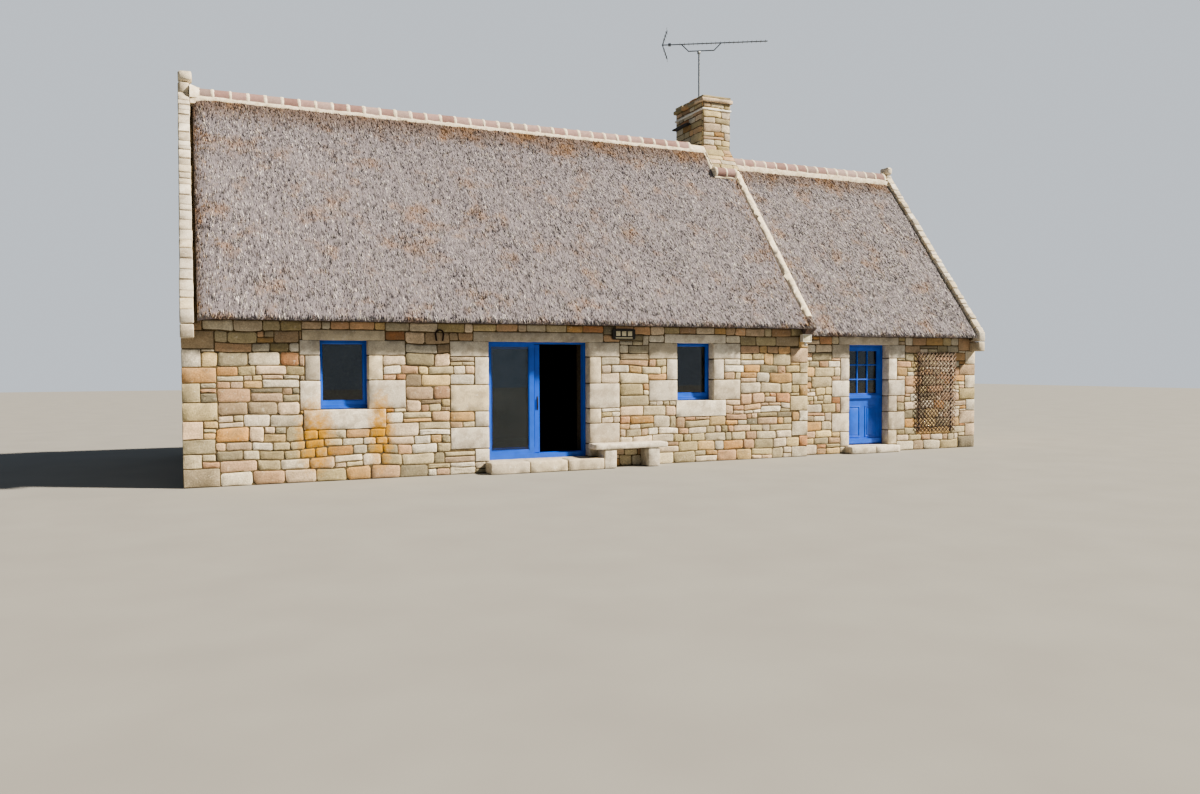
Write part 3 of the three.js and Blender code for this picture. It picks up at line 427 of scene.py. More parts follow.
MAKERS = {
    "rubble": rubble_granite,
    "dressed": dressed_granite,
    "joints": wall_mortar,
    "mortar": lambda: pale_mortar("trowelled_lime_mortar", "#b8a98d", "#e3d8c1", "#f5eedf"),
    "limewash": lambda: pale_mortar("limewashed_mortar", "#d9d6cf", "#f0eee8", "#faf9f5"),
    "reed": lambda: reed_thatch("weathered_reed", THATCH_SHADES),
    "shaded_under_reed": lambda: reed_thatch("packed_reed_painted_shade", THATCH_SHADOWS),
    "tile": terracotta,
    "slate": slate,
    "paint": lambda: brushed_paint(bpy.context.scene.cottage_joinery.paint),
    "glass": float_glass,
    "steel": galvanised,
    "iron": rusty_iron,
    "dark_plastic": lambda: moulded_plastic("black_moulded_plastic", "#23201e", "#302c29", 0.45),
    "white_plastic": lambda: moulded_plastic("white_moulded_plastic", "#d9d7d0", "#ecebe6", 0.4),
    "softwood": sawn_softwood,
    "flags": stone_flags,
    "opal": opal_glass,
}
MADE = {}


def finish(name):
    """The material of that name, made the first time it is asked for."""
    if name not in MADE:
        MADE[name] = MAKERS[name]()
    return MADE[name]


def paint_nodes(names, material):
    """Gives CAD nodes that stay in view a better material."""
    for name in names:
        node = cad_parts[name]
        node.data.materials.clear()
        node.data.materials.append(finish(material))


# Mesh tools


class Shells:
    """Closed shells gathered into one piece. Every shell carries three random numbers for its material."""

    def __init__(self):
        self.points = []
        self.faces = []
        self.tints = []
        self.count = 0

    def add(self, points, faces, tints=(0.5, 0.5, 0.5)):
        points = np.asarray(points, float).reshape(-1, 3)
        self.points.append(points)
        self.faces.append(np.asarray(faces, int).reshape(-1, 3) + self.count)
        self.tints.append(np.broadcast_to(np.asarray(tints, float), (len(points), 3)))
        self.count += len(points)

    def piece(self, name, material, slot, body=HOUSE, replaces=(), smooth=None, outward=True):
        """Makes the object, smooth below an angle in degrees, and hides the CAD nodes it stands for."""
        points, faces = np.concatenate(self.points), np.concatenate(self.faces)
        mesh = bpy.data.meshes.new(name)
        mesh.vertices.add(len(points))
        mesh.vertices.foreach_set("co", points.ravel())
        mesh.loops.add(faces.size)
        mesh.loops.foreach_set("vertex_index", faces.ravel())
        mesh.polygons.add(len(faces))
        mesh.polygons.foreach_set("loop_start", np.arange(0, faces.size, 3))
        mesh.update(calc_edges=True)
        layer = mesh.color_attributes.new("tint", "FLOAT_COLOR", "POINT")
        colours = np.ones((len(points), 4))
        colours[:, :3] = np.concatenate(self.tints)
        layer.data.foreach_set("color", colours.ravel())
        if outward:
            shells = bmesh.new()
            shells.from_mesh(mesh)
            bmesh.ops.recalc_face_normals(shells, faces=shells.faces)
            shells.to_mesh(mesh)
            shells.free()
        if smooth is not None:
            mesh.shade_smooth()
            mesh.set_sharp_from_angle(angle=math.radians(smooth))
        mesh.materials.append(finish(material))
        made = bpy.data.objects.new(name, mesh)
        bpy.context.scene.collection.objects.link(made)
        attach(made, body)
        if replaces:
            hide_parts(*replaces)


def ring_faces(rings, sides):
    """Faces between rings of points, each with the same number of sides, and a fan on both ends.

    The point before the rings and the point after them are the middles of the two fans."""
    faces = []
    for ring in range(rings - 1):
        for i in range(sides):
            a = 1 + ring * sides + i
            b = 1 + ring * sides + (i + 1) % sides
            faces += [(a, b, b + sides), (a, b + sides, a + sides)]
    last = 1 + rings * sides
    for i in range(sides):
        j = (i + 1) % sides
        faces.append((0, 1 + j, 1 + i))
        faces.append((last, last - sides + i, last - sides + j))
    return faces


def waves(seed, size, count=6):
    """A smooth bumpy function of two lengths, between about -1 and 1, with bumps about size metres wide."""
    rng = np.random.default_rng(seed)
    turns = rng.uniform(0, 2 * math.pi, count)
    pace = 2 * math.pi / (size * rng.uniform(1.3, 3.2, count))
    phase = rng.uniform(0, 2 * math.pi, count)

    def height(s, t):
        s, t = np.asarray(s, float), np.asarray(t, float)
        total = sum(
            np.sin(pace[i] * (s * math.cos(turns[i]) + t * math.sin(turns[i])) + phase[i])
            for i in range(count)
        )
        return total / math.sqrt(count) / 1.6

    return height


class Face:
    """A flat wall face: s runs along it, t up it, and d out of it."""

    def __init__(self, origin, along, outward, up=UP):
        self.origin = np.array(origin, float)
        self.along = np.array(along, float)
        self.outward = np.array(outward, float)
        self.up = np.array(up, float)

    def place(self, local):
        local = np.asarray(local, float)
        return (
            self.origin
            + local[:, :1] * self.along
            + local[:, 1:2] * self.up
            + local[:, 2:3] * self.outward
        )


FRONT = Face((0, MAIN_FRONT, 0), (1, 0, 0), (0, -1, 0))
BACK = Face((0, MAIN_BACK, 0), (1, 0, 0), (0, 1, 0))
WING_FRONT = Face((0, LOW_FRONT, 0), (1, 0, 0), (0, -1, 0))
WING_BACK = Face((0, LOW_BACK, 0), (1, 0, 0), (0, 1, 0))
LEFT = Face((LEFT_FACE, 0, 0), (0, 1, 0), (-1, 0, 0))
RIGHT = Face((RIGHT_FACE, 0, 0), (0, 1, 0), (1, 0, 0))


# Rubble

# How far a stone runs back into the wall, and how uneven its face is
STONE_BACK, UNEVEN = 0.03, 0.003
COURSE_HEIGHTS = (0.12, 0.22)
LEAST_COURSE, LEAST_STRETCH, LEAST_STONE, LEAST_END = 0.08, 0.028, 0.03, 0.11
# Taller courses are split here and there into two layers, and each wide stone there may be halved
SPLIT_FROM, SPLIT_SHARE, HALVE_FROM = 0.15, 0.3, 0.24
# A stone cut back under the coping is left out if less than this is left of it
LEAST_CUT = 0.025
# A block that reaches less than this into a course doesn't interrupt it
LEAST_LAP = 0.004
# Share of a stone's lesser side that its corners lose at most, and the length from which a side is nicked
CORNER_CUT, NICK_FROM = 0.22, 0.2
# A stone's end this near to a joint below is moved on by the second length
BOND, BOND_SHIFT = 0.045, 0.07
# How far joints stray from their straight lines, along and up, and how near to an edge they stop straying
STRAY, STRAY_FADE = (0.018, 0.024), 0.12


def rubble_stone(shells, face, outline, proud, rng):
    """One split stone: a rounded, slightly domed and uneven front, running back into the wall."""
    outline = np.asarray(outline)
    middle = outline.mean(0)
    spans = outline.max(0) - outline.min(0)
    sides = len(outline)
    edge = min(0.012, 0.2 * spans.min())
    inner = middle + (outline - middle) * np.maximum(0.2, 1 - 2 * edge / spans)
    core = middle + (outline - middle) * 0.55
    rings = [(outline, -STONE_BACK), (outline, proud * 0.35), (inner, proud * 0.85), (core, proud)]
    points = [(*middle, -STONE_BACK)]
    for number, (ring, depth) in enumerate(rings):
        rough = 0.0 if number == 0 else UNEVEN
        depths = depth - np.abs(rng.normal(0, rough, sides))
        points += [(s, t, d) for (s, t), d in zip(ring, depths)]
    points.append((*middle, proud - abs(rng.normal(0, UNEVEN))))
    shells.add(face.place(points), ring_faces(len(rings), sides), rng.random(3))


def stone_outline(s0, s1, t0, t1, rng, joint, warp):
    """The outline of a stone in its rectangle: rough edges and broken corners."""
    half = joint / 2
    s0, s1, t0, t1 = s0 + half, s1 - half, t0 + half, t1 - half
    width, height = s1 - s0, t1 - t0
    cut = min(width, height) * CORNER_CUT
    points = []
    corners = [(s0, t0, 1, 1), (s1, t0, -1, 1), (s1, t1, -1, -1), (s0, t1, 1, -1)]
    for number, (s, t, right, up) in enumerate(corners):
        a = cut * rng.uniform(0.25, 1.0)
        b = cut * rng.uniform(0.25, 1.0)
        first, second = (s, t + up * b), (s + right * a, t)
        if number % 2:
            first, second = (s + right * a, t), (s, t + up * b)
        points += [first, second]
        along = width if number % 2 == 0 else height
        following = corners[(number + 1) % 4]
        if along > NICK_FROM:
            nick = rng.uniform(-0.002, 0.006)
            share = rng.uniform(0.35, 0.65)
            s_mid = s + (following[0] - s) * share
            t_mid = t + (following[1] - t) * share
            inward = [(0, nick), (-nick, 0), (0, -nick), (nick, 0)][number]
            points.append((s_mid + inward[0], t_mid + inward[1]))
    shifted = warp(np.array(points))
    return shifted + rng.normal(0, 0.0018, shifted.shape)


def clip(points, keep):
    """The part of a convex outline on the kept side of a line; keep gives the distance inside it."""
    result = []
    for i, here in enumerate(points):
        following = points[(i + 1) % len(points)]
        a, b = keep(here), keep(following)
        if a >= 0:
            result.append(here)
        if (a >= 0) != (b >= 0):
            result.append(here + (following - here) * (a / (a - b)))
    return np.array(result)


def ticks(low, high, step, edges):
    """Grid lines from low to high, about step apart, with one on every edge between them."""
    stops = sorted({low, high} | {e for e in edges if low < e < high})
    lines = [low]
    for start, stop in zip(stops, stops[1:]):
        count = max(1, round((stop - start) / step))
        lines += list(np.linspace(start, stop, count + 1)[1:])
    return np.array(lines)


def free_cells(region, blocks, courses):
    """Cuts each course of a region round the blocks: (s0, s1, t0, t1) of every free stretch."""
    s_low, s_high = region[:2]
    for c0, c1 in zip(courses, courses[1:]):
        inside = [b for b in blocks if b[2] < c1 - LEAST_LAP and b[3] > c0 + LEAST_LAP]
        stops = sorted({s_low, s_high} | {s for b in inside for s in b[:2] if s_low < s < s_high})
        stretches = []
        for s0, s1 in zip(stops, stops[1:]):
            middle = (s0 + s1) / 2
            cover = sorted((b[2], b[3]) for b in inside if b[0] < middle < b[1])
            low, gaps = c0, []
            for t0, t1 in cover + [(c1, c1)]:
                if t0 - low > LEAST_STRETCH:
                    gaps.append((low, t0))
                low = max(low, t1)
            if stretches and stretches[-1][2] == gaps:
                stretches[-1][1] = s1
            else:
                stretches.append([s0, s1, gaps])
        for s0, s1, gaps in stretches:
            for t0, t1 in gaps:
                if s1 - s0 > LEAST_STRETCH:
                    yield s0, s1, t0, t1


def stone_cells(cell, sizes, rng, joints):
    """Divides a free stretch of a course into stones, keeping their ends off the joints below."""
    s0, s1, t0, t1 = cell
    tall = t1 - t0
    ends = []
    while s0 < s1:
        wide = np.clip(tall * rng.uniform(0.9, 3.2), sizes.shortest, sizes.longest)
        if any(abs(s0 + wide - joint) < BOND for joint in joints):
            wide += BOND_SHIFT
        if s1 - s0 - wide < LEAST_END:
            wide = s1 - s0
        if wide > 1.3 * sizes.longest:
            wide /= 2
        if tall > SPLIT_FROM and rng.random() < SPLIT_SHARE:
            split = t0 + tall * rng.uniform(0.32, 0.68)
            middle = s0 + wide * rng.uniform(0.38, 0.62)
            halved = rng.random()
            lower = [s0, middle, s0 + wide] if halved < 0.35 and wide > HALVE_FROM else [s0, s0 + wide]
            upper = [s0, middle, s0 + wide] if halved > 0.65 and wide > HALVE_FROM else [s0, s0 + wide]
            yield from ((a, b, t0, split) for a, b in zip(lower, lower[1:]))
            yield from ((a, b, split, t1) for a, b in zip(upper, upper[1:]))
        else:
            yield s0, s0 + wide, t0, t1
        s0 += wide
        ends.append(s0)
    joints[:] = ends + [joint for joint in joints if joint < cell[0] or joint > s1]


def lay_rubble(shells, face, region, blocks, seed, limits=()):
    """Fills a region of a wall face with split stones in rough courses, round its openings and blocks."""
    sizes = bpy.context.scene.cottage_rubble
    rng = np.random.default_rng(seed)
    s_low, s_high, t_low, t_high = region
    courses = [t_low]
    while courses[-1] < t_high:
        courses.append(courses[-1] + rng.uniform(*COURSE_HEIGHTS))
    courses[-1] = t_high
    if t_high - courses[-2] < LEAST_COURSE:
        del courses[-2]
    shift_s, shift_t = waves(seed + 1, 0.5), waves(seed + 2, 0.5)

    def warp(points):
        """Moves joints off their straight lines, and not near an opening or the region's edge."""
        s, t = points[:, 0], points[:, 1]
        room = np.minimum.reduce([s - s_low, s_high - s, t - t_low, t_high - t])
        for s0, s1, t0, t1 in blocks:
            outside = np.maximum.reduce([s0 - s, s - s1, t0 - t, t - t1])
            room = np.minimum(room, outside)
        fade = np.clip(room / STRAY_FADE, 0, 1)
        moved = np.array([shift_s(s, t), shift_t(s, t)]).T * fade[:, None] * STRAY
        return points + moved

    joints = []
    for cell in free_cells(region, blocks, courses):
        for rectangle in list(stone_cells(cell, sizes, rng, joints)):
            if min(rectangle[1] - rectangle[0], rectangle[3] - rectangle[2]) < LEAST_STONE:
                continue
            outline = stone_outline(*rectangle, rng, sizes.joint, warp)
            outline[:, 1] = np.maximum(outline[:, 1], t_low + 0.002)
            proud = sizes.proud * rng.uniform(0.55, 1.0)
            for limit in limits:
                if len(outline):
                    outline = clip(outline, limit)
            if len(outline) > 2 and np.ptp(outline, axis=0).min() > LEAST_CUT:
                rubble_stone(shells, face, outline, proud, rng)


# Dressed stone


def hewn_block(shells, low, high, seed, chamfer=0.012, rough=0.0025, pitch=0.11, turn=None, tints=None):
    """A squared block with worn arrises and picked faces. Turn is a function that places its points."""
    rng = np.random.default_rng(seed)
    low, high = np.array(low, float), np.array(high, float)
    size = high - low
    chamfer = min(chamfer, size.min() * 0.3)
    lines = []
    for axis in range(3):
        count = max(1, int(round((size[axis] - 2 * chamfer) / pitch)))
        inside = np.linspace(low[axis] + chamfer, high[axis] - chamfer, count + 1)
        lines.append(np.concatenate([[low[axis]], inside, [high[axis]]]))
    last = [len(line) - 1 for line in lines]
    index = {}
    points = []

    def corner(cell):
        if cell not in index:
            index[cell] = len(points)
            place = np.array([lines[axis][cell[axis]] for axis in range(3)])
            outer = [axis for axis in range(3) if cell[axis] in (0, last[axis])]
            for axis in outer:
                inward = 1 if cell[axis] == 0 else -1
                pull = {1: 0.0, 2: 0.32, 3: 0.45}[len(outer)] * chamfer
                place[axis] += inward * (pull + abs(rng.normal(0, rough)))
            points.append(place)
        return index[cell]

    faces = []
    for axis in range(3):
        u, v = (axis + 1) % 3, (axis + 2) % 3
        for end in (0, last[axis]):
            for i in range(last[u]):
                for j in range(last[v]):
                    cells = []
                    for di, dj in ((0, 0), (1, 0), (1, 1), (0, 1)):
                        cell = [0, 0, 0]
                        cell[axis], cell[u], cell[v] = end, i + di, j + dj
                        cells.append(corner(tuple(cell)))
                    a, b, c, d = cells
                    faces += [(a, b, c), (a, c, d)]
    points = np.array(points)
    shells.add(turn(points) if turn else points, faces, rng.random(3) if tints is None else tints)


def jamb_blocks(hole, side, heights, widths):
    """Blocks up one side of an opening, wide and narrow by turns from the top: (s0, s1, t0, t1) each."""
    blocks = []
    edge = hole[0] if side < 0 else hole[1]
    for number, (t0, t1) in enumerate(reversed(list(zip(heights, heights[1:])))):
        reach = widths[number % 2]
        blocks.append((edge - reach, edge, t0, t1) if side < 0 else (edge, edge + reach, t0, t1))
    return blocks


# Walls and their dressed stones

# How far down the two doorways' jamb blocks reach
PATIO_FOOT, DOOR_FOOT = 0.19, 0.14
WINDOW_CUTS = (0.42, 0.78)
# How far a wide and a narrow jamb block reach from the opening
JAMB_REACHES = (0.58, 0.22)
LINTEL_REACH, LINTEL_HEIGHT = 0.26, 0.16
LEDGE_REACH, LEDGE_HEIGHT, LEDGE_PROUD = 0.2, 0.2, 0.03
# The gap that dressed blocks leave round them, how far they lap over a reveal, and how proud they stand
BLOCK_JOINT, LAP, BLOCK_PROUD, QUOIN_PROUD = 0.005, 0.007, 0.013, 0.012
WALL_THICKNESS = 0.6


def hole_of(node, bottom=None):
    """An opening's edges on its wall, from the CAD piece that fills its width."""
    low, high = corner_low(node), corner_high(node)
    return (low[0] - SEAT, high[0] + SEAT, low[2] if bottom is None else bottom, HEAD)


def sill_rectangle(node):
    low, high = corner_low(node), corner_high(node)
    return (low[0], high[0], low[2], high[2])


def back_window(node):
    return {"hole": hole_of(node), "cuts": WINDOW_CUTS, "ledge": True}


# Cuts are the shares of an opening's height where one jamb block ends and the next begins
OPENINGS = {
    "front": [
        {"hole": hole_of("window_1_frame"), "cuts": WINDOW_CUTS, "left": (0.3, 0.22),
         "sill": "window_1_sill"},
        {"hole": hole_of("patio_lintel", PATIO_FOOT), "cuts": (0.11, 0.29, 0.42, 0.64, 0.87),
         "left": (0.655, 0.24)},
        {"hole": hole_of("window_2_frame"), "cuts": (0.36, 0.72), "sill": "window_2_sill"},
    ],
    "wing_front": [
        {"hole": hole_of("door_lintel", DOOR_FOOT), "cuts": (0.144, 0.327, 0.487, 0.648, 0.865),
         "widths": (0.43, 0.22)},
    ],
    "back": [back_window("back_window_left_frame"), back_window("back_window_right_frame")],
    "wing_back": [back_window("low_back_window_frame")],
}


def opening_blocks(opening):
    """An opening's jamb blocks, lintel and ledge, each with the edge that turns into the reveal."""
    x0, x1, z0, z1 = opening["hole"]
    heights = [z0] + [z0 + (z1 - z0) * cut for cut in opening["cuts"]] + [z1]
    widths = opening.get("widths", JAMB_REACHES)
    left_widths = opening.get("left", widths)
    blocks = [(block, "right") for block in jamb_blocks((x0, x1), -1, heights, left_widths)]
    blocks += [(block, "left") for block in jamb_blocks((x0, x1), 1, heights, widths)]
    blocks.append(((x0 - LINTEL_REACH, x1 + LINTEL_REACH, z1, z1 + LINTEL_HEIGHT), "under"))
    if opening.get("ledge"):
        blocks.append(((x0 - LEDGE_REACH, x1 + LEDGE_REACH, z0 - LEDGE_HEIGHT, z0), "top"))
    return blocks


def lay_dressed(shells, face, blocks, seed):
    """Dressed blocks on a face, each turned a little way into its opening over the plain reveal."""
    for number, ((s0, s1, t0, t1), turned) in enumerate(blocks):
        low = [s0 + BLOCK_JOINT, t0 + BLOCK_JOINT, -REVEAL]
        high = [s1 - BLOCK_JOINT, t1 - BLOCK_JOINT, BLOCK_PROUD]
        if turned == "right":
            high[0] = s1 + LAP
        elif turned == "left":
            low[0] = s0 - LAP
        elif turned == "under":
            low[1] = t0 - LAP
        else:
            high[1:] = t1 + LAP, LEDGE_PROUD
        hewn_block(shells, low, high, seed + number, turn=face.place)


def name_seed(name):
    return sum(map(ord, name))


def quoins(seed, low, high, front_reaches, side_reaches):
    """Corner blocks by turns long on the front and on the side: (t0, t1, front reach, side reach) each."""
    rng = np.random.default_rng(seed)
    rows = []
    t = low
    while t < high - 0.05:
        top = min(high, t + rng.uniform(0.2, 0.3))
        if high - top < 0.12:
            top = high
        turn = len(rows) % 2
        rows.append((t, top, front_reaches[turn] * rng.uniform(0.9, 1.1), side_reaches[1 - turn]))
        t = top
    return rows


MAIN_TOP, LOW_TOP = MAIN_EAVES - 0.01, LOW_EAVES - 0.01
# Each corner's place, its ways into the wall along X and Y, its top, and its quoins' long and short
# reaches on the front and on the side
CORNERS = {
    "left_front": (LEFT_FACE, MAIN_FRONT, 1, 1, MAIN_TOP, (0.45, 0.26), (0.46, 0.25)),
    "left_back": (LEFT_FACE, MAIN_BACK, 1, -1, MAIN_TOP, (0.45, 0.26), (0.46, 0.25)),
    "right_front": (RIGHT_FACE, LOW_FRONT, -1, 1, LOW_TOP, (0.44, 0.27), (0.46, 0.25)),
    "right_back": (RIGHT_FACE, LOW_BACK, -1, -1, LOW_TOP, (0.44, 0.27), (0.46, 0.25)),
    "cross_front": (CROSS_FACE, MAIN_FRONT, -1, 1, MAIN_TOP, (0.38, 0.2), (0.147, 0.147)),
    "cross_back": (CROSS_FACE, MAIN_BACK, -1, -1, MAIN_TOP, (0.38, 0.2), (0.147, 0.147)),
}


def corner_rows(name):
    """A corner's quoins, and the rectangles they take on the front or back face and on the side face."""
    x, y, inward_x, inward_y, top, front_reaches, side_reaches = CORNERS[name]
    rows = quoins(name_seed(name), 0.0, top, front_reaches, side_reaches)
    on_front = [(*sorted((x, x + inward_x * front)), t0, t1) for t0, t1, front, side in rows]
    on_side = [(*sorted((y, y + inward_y * side)), t0, t1) for t0, t1, front, side in rows]
    return rows, on_front, on_side


def lay_quoins(shells, name):
    x, y, inward_x, inward_y = CORNERS[name][:4]
    for number, (t0, t1, front, side) in enumerate(corner_rows(name)[0]):
        xs = sorted((x - inward_x * QUOIN_PROUD, x + inward_x * (front - BLOCK_JOINT)))
        ys = sorted((y - inward_y * QUOIN_PROUD, y + inward_y * (side - BLOCK_JOINT)))
        low, high = (xs[0], ys[0], t0 + BLOCK_JOINT), (xs[1], ys[1], t1 - BLOCK_JOINT)
        hewn_block(shells, low, high, name_seed(name) + number, rough=0.003)


def wall_obstacles(openings, corners):
    """The rectangles on a wall that its rubble is laid round."""
    rectangles = []
    for opening in openings:
        rectangles.append(opening["hole"])
        rectangles += [block for block, turned in opening_blocks(opening)]
        if "sill" in opening:
            rectangles.append(sill_rectangle(opening["sill"]))
    for name in corners:
        rectangles += corner_rows(name)[1]
    return rectangles


def gable_limits(roof):
    """Keep a stone under both slopes of the coping."""
    top = roof.apex - roof.drop - 0.004
    return (
        lambda p: top - roof.slope * p[0] - p[1],
        lambda p: top + roof.slope * p[0] - p[1],
    )


MAIN_REGION = (LEFT_FACE, CROSS_FACE, 0, MAIN_TOP)
WING_REGION = (CROSS_FACE, RIGHT_FACE, 0, LOW_TOP)
WALLS = {
    "front": (FRONT, MAIN_REGION, ("left_front", "cross_front")),
    "back": (BACK, MAIN_REGION, ("left_back", "cross_back")),
    "wing_front": (WING_FRONT, WING_REGION, ("right_front",)),
    "wing_back": (WING_BACK, WING_REGION, ("right_back",)),
}
GABLES = {
    "left_gable": (LEFT, MAIN_ROOF, MAIN_FRONT, MAIN_BACK, ("left_front", "left_back")),
    "right_gable": (RIGHT, LOW_ROOF, LOW_FRONT, LOW_BACK, ("right_front", "right_back")),
}
WALL_NODES = (
    "left_gable_wall", "right_gable_wall", "cross_gable_wall", "front_wall_left", "front_wall_middle",
    "patio_lintel", "low_front_wall_left", "low_front_wall_right", "door_lintel", "back_wall_main",
    "back_wall_low",
)


class COTTAGE_OT_rubble(bpy.types.Operator):
    """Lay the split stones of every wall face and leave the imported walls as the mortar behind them"""

    bl_idname = "cottage.rubble"
    bl_label = "Rubble walls"

    def execute(self, context):
        paint_nodes(WALL_NODES, "joints")
        for number, (side, (face, region, corners)) in enumerate(WALLS.items()):
            obstacles = wall_obstacles(OPENINGS[side], corners)
            self.wall(side, face, region, obstacles, 100 + 10 * number)
        for number, (side, (face, roof, y0, y1, corners)) in enumerate(GABLES.items()):
            obstacles = [rectangle for corner in corners for rectangle in corner_rows(corner)[2]]
            region = (y0, y1, 0, roof.apex - roof.drop)
            self.wall(side, face, region, obstacles, 200 + 10 * number, gable_limits(roof))
        return {"FINISHED"}

    def wall(self, side, face, region, obstacles, seed, limits=()):
        shells = Shells()
        lay_rubble(shells, face, region, obstacles, seed, limits)
        shells.piece(f"rubble_{side}", "rubble", "rubble_granite", smooth=48)


class COTTAGE_OT_dressed(bpy.types.Operator):
    """Set the dressed blocks: jambs, lintels, ledges, quoins, sills, steps and the bench"""

    bl_idname = "cottage.dressed"
    bl_label = "Dressed stones"

    def execute(self, context):
        for side, openings in OPENINGS.items():
            shells = Shells()
            for number, opening in enumerate(openings):
                lay_dressed(shells, WALLS[side][0], opening_blocks(opening), 300 + 40 * number)
            shells.piece(f"dressed_{side}", "dressed", "dressed_granite", smooth=50)
        shells = Shells()
        for name in CORNERS:
            lay_quoins(shells, name)
        shells.piece("quoins", "rubble", "rubble_granite", smooth=50)
        for name in ("window_1_sill", "window_2_sill"):
            shells = Shells()
            hewn_block(shells, corner_low(name), corner_high(name), 5, rough=0.003, tints=(0.3, 0.9, 0.5))
            shells.piece(f"hewn_{name}", "dressed", "dressed_granite", replaces=(name,), smooth=50)
        self.step("patio_step", MAIN_FRONT, "patio_lintel", 3)
        self.step("door_step", LOW_FRONT, "door_lintel", 2)
        self.bench()
        paint_nodes(("floor_main", "floor_low"), "flags")
        return {"FINISHED"}

    def step(self, node, wall, lintel, count):
        """A row of slabs outside, and a threshold slab that fills the doorway."""
        low, high = corner_low(node), corner_high(node)
        shells = Shells()
        edges = np.linspace(low[0], high[0], count + 1)
        for number, (x0, x1) in enumerate(zip(edges, edges[1:])):
            start, end = (x0 + 0.003, low[1], 0), (x1 - 0.003, wall - 0.002, high[2])
            hewn_block(shells, start, end, 20 + number, chamfer=0.018, rough=0.003)
        start = (corner_low(lintel)[0], wall - 0.001, 0)
        end = (corner_high(lintel)[0], wall + WALL_THICKNESS - 0.002, high[2] + 0.001)
        hewn_block(shells, start, end, 30, chamfer=0.008)
        shells.piece(f"hewn_{node}", "dressed", "dressed_granite", replaces=(node,), smooth=50)

    def bench(self):
        """A seat slab on two legs, each set back a little from the slab's front."""
        low, high = corner_low("stone_bench"), corner_high("stone_bench")
        slab, leg, setback, leg_places = 0.1, 0.24, 0.02, (0.179, 1.024)
        under = high[2] - slab
        shells = Shells()
        hewn_block(shells, (low[0], low[1], under), high, 41, chamfer=0.02, rough=0.004)
        for number, offset in enumerate(leg_places):
            start = (low[0] + offset, low[1] + setback, 0)
            end = (low[0] + offset + leg, high[1], under)
            hewn_block(shells, start, end, 45 + number, chamfer=0.02, rough=0.005)
        shells.piece("hewn_bench", "dressed", "dressed_granite", replaces=("stone_bench",), smooth=50)


# Thatch

SWELL_HEIGHT, SWELL_ACROSS, SWELL_UP = 0.016, 2.6, 2.3
SWELL_PLAIN, SWELL_FADE = 1.1, 0.6
# Height of the rise below the main ridge's tiles, how far down it reaches, and how far up the tiles cover
RIDGE_RISE, RIDGE_RISE_REACH, UNDER_TILES = 0.045, 1.3, 0.2
# How deep and how wide the thatch has sunk beside the left coping; over that width its reeds also get
# painted shade
SUNK_DEPTH, SUNK_REACH = 0.06, 0.07
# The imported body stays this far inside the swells, with lumps of this size and height on it
BED_INSIDE, LUMP_SIZE, LUMP_HEIGHT = 0.009, 0.22, 0.004
BED_GRID = 0.11
# Places up the slope from the arris, and how far the rounded arris drops there
ARRIS_PLACES, ARRIS_DROPS = (0.0, 0.05, 0.12), (0.045, 0.012, 0.0)
VERGE_FOOT = 0.3
VERGE_WIDTH = corner_high("verge_front")[0] - corner_low("verge_front")[0]
CAP_REACH = 0.06
CHIMNEY_LOW = corner_low("chimney_cap") + CAP_REACH
CHIMNEY_HIGH = corner_high("chimney_cap") - CAP_REACH
CHIMNEY_SHOULDER = corner_low("chimney_stack")[1]
FRINGE_PER_METRE = 420
# Shortest and longest, narrowest and widest, and lowest and highest of the fringe's butt ends
FRINGE_SIZES = ((0.1, 0.2), (0.008, 0.02), (0.004, 0.012))
BEYOND_RIDGE = 99.0


def mirrored(points, back):
    """Turns points made for the front slope to the back slope."""
    return points * (1, -1, 1) if back else points


def slope_at(roof, y):
    """How far up the front slope a place is, from its distance in front of the ridge."""
    return (y - roof.arris) * roof.rake


def swell(roof, x, s, back):
    """The broad swells of the worn thatch, which die out towards the eaves and the ridge."""
    fade = np.clip(s / SWELL_FADE, 0, 1) * np.clip((roof.length - s - SWELL_PLAIN) / SWELL_FADE, 0, 1)
    phase = 2.0 if back else 0.0
    across = 2 * math.pi * (x - cad_box[0][0]) / SWELL_ACROSS
    up = 2 * math.pi * s / SWELL_UP
    lumps = 0.6 * np.sin(across + phase) * np.cos(up + phase) + 0.4 * np.sin(1.7 * across + 0.8 * up)
    return SWELL_HEIGHT * fade * lumps


def ridge_band(roof, s):
    """1 on the brown and shaded thatch below the ridge's mortar, fading to 0 down the slope."""
    return np.clip(1.15 - (roof.length - 0.2 - s) / 0.6, 0, 1)


def rise(roof, s):
    """How far the thatch stands up below the main ridge's tiles. Under them it drops again."""
    below = roof.length - s
    height = RIDGE_RISE if roof is MAIN_ROOF else 0.0
    return height * np.clip(1 - below / RIDGE_RISE_REACH, 0, 1) * np.clip(below / UNDER_TILES, 0, 1)


def sunk_and_shaded(roof, x):
    """1 on the thatch right beside the left coping, where it has sunk and its reeds get painted shade,
    fading to 0 along the house.
    """
    if roof is not MAIN_ROOF:
        return np.zeros_like(x)
    return np.exp(-np.maximum(x - roof.x0, 0) / SUNK_REACH)


def thatch_surface(roof, back, seed):
    """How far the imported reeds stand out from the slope's plane: lumpy, and a little inside the swells."""
    fine = waves(seed + 1, LUMP_SIZE)

    def height(x, s):
        packed = swell(roof, x, s, back) - BED_INSIDE + LUMP_HEIGHT * fine(x, s)
        return packed + rise(roof, s) - SUNK_DEPTH * sunk_and_shaded(roof, x)

    return height


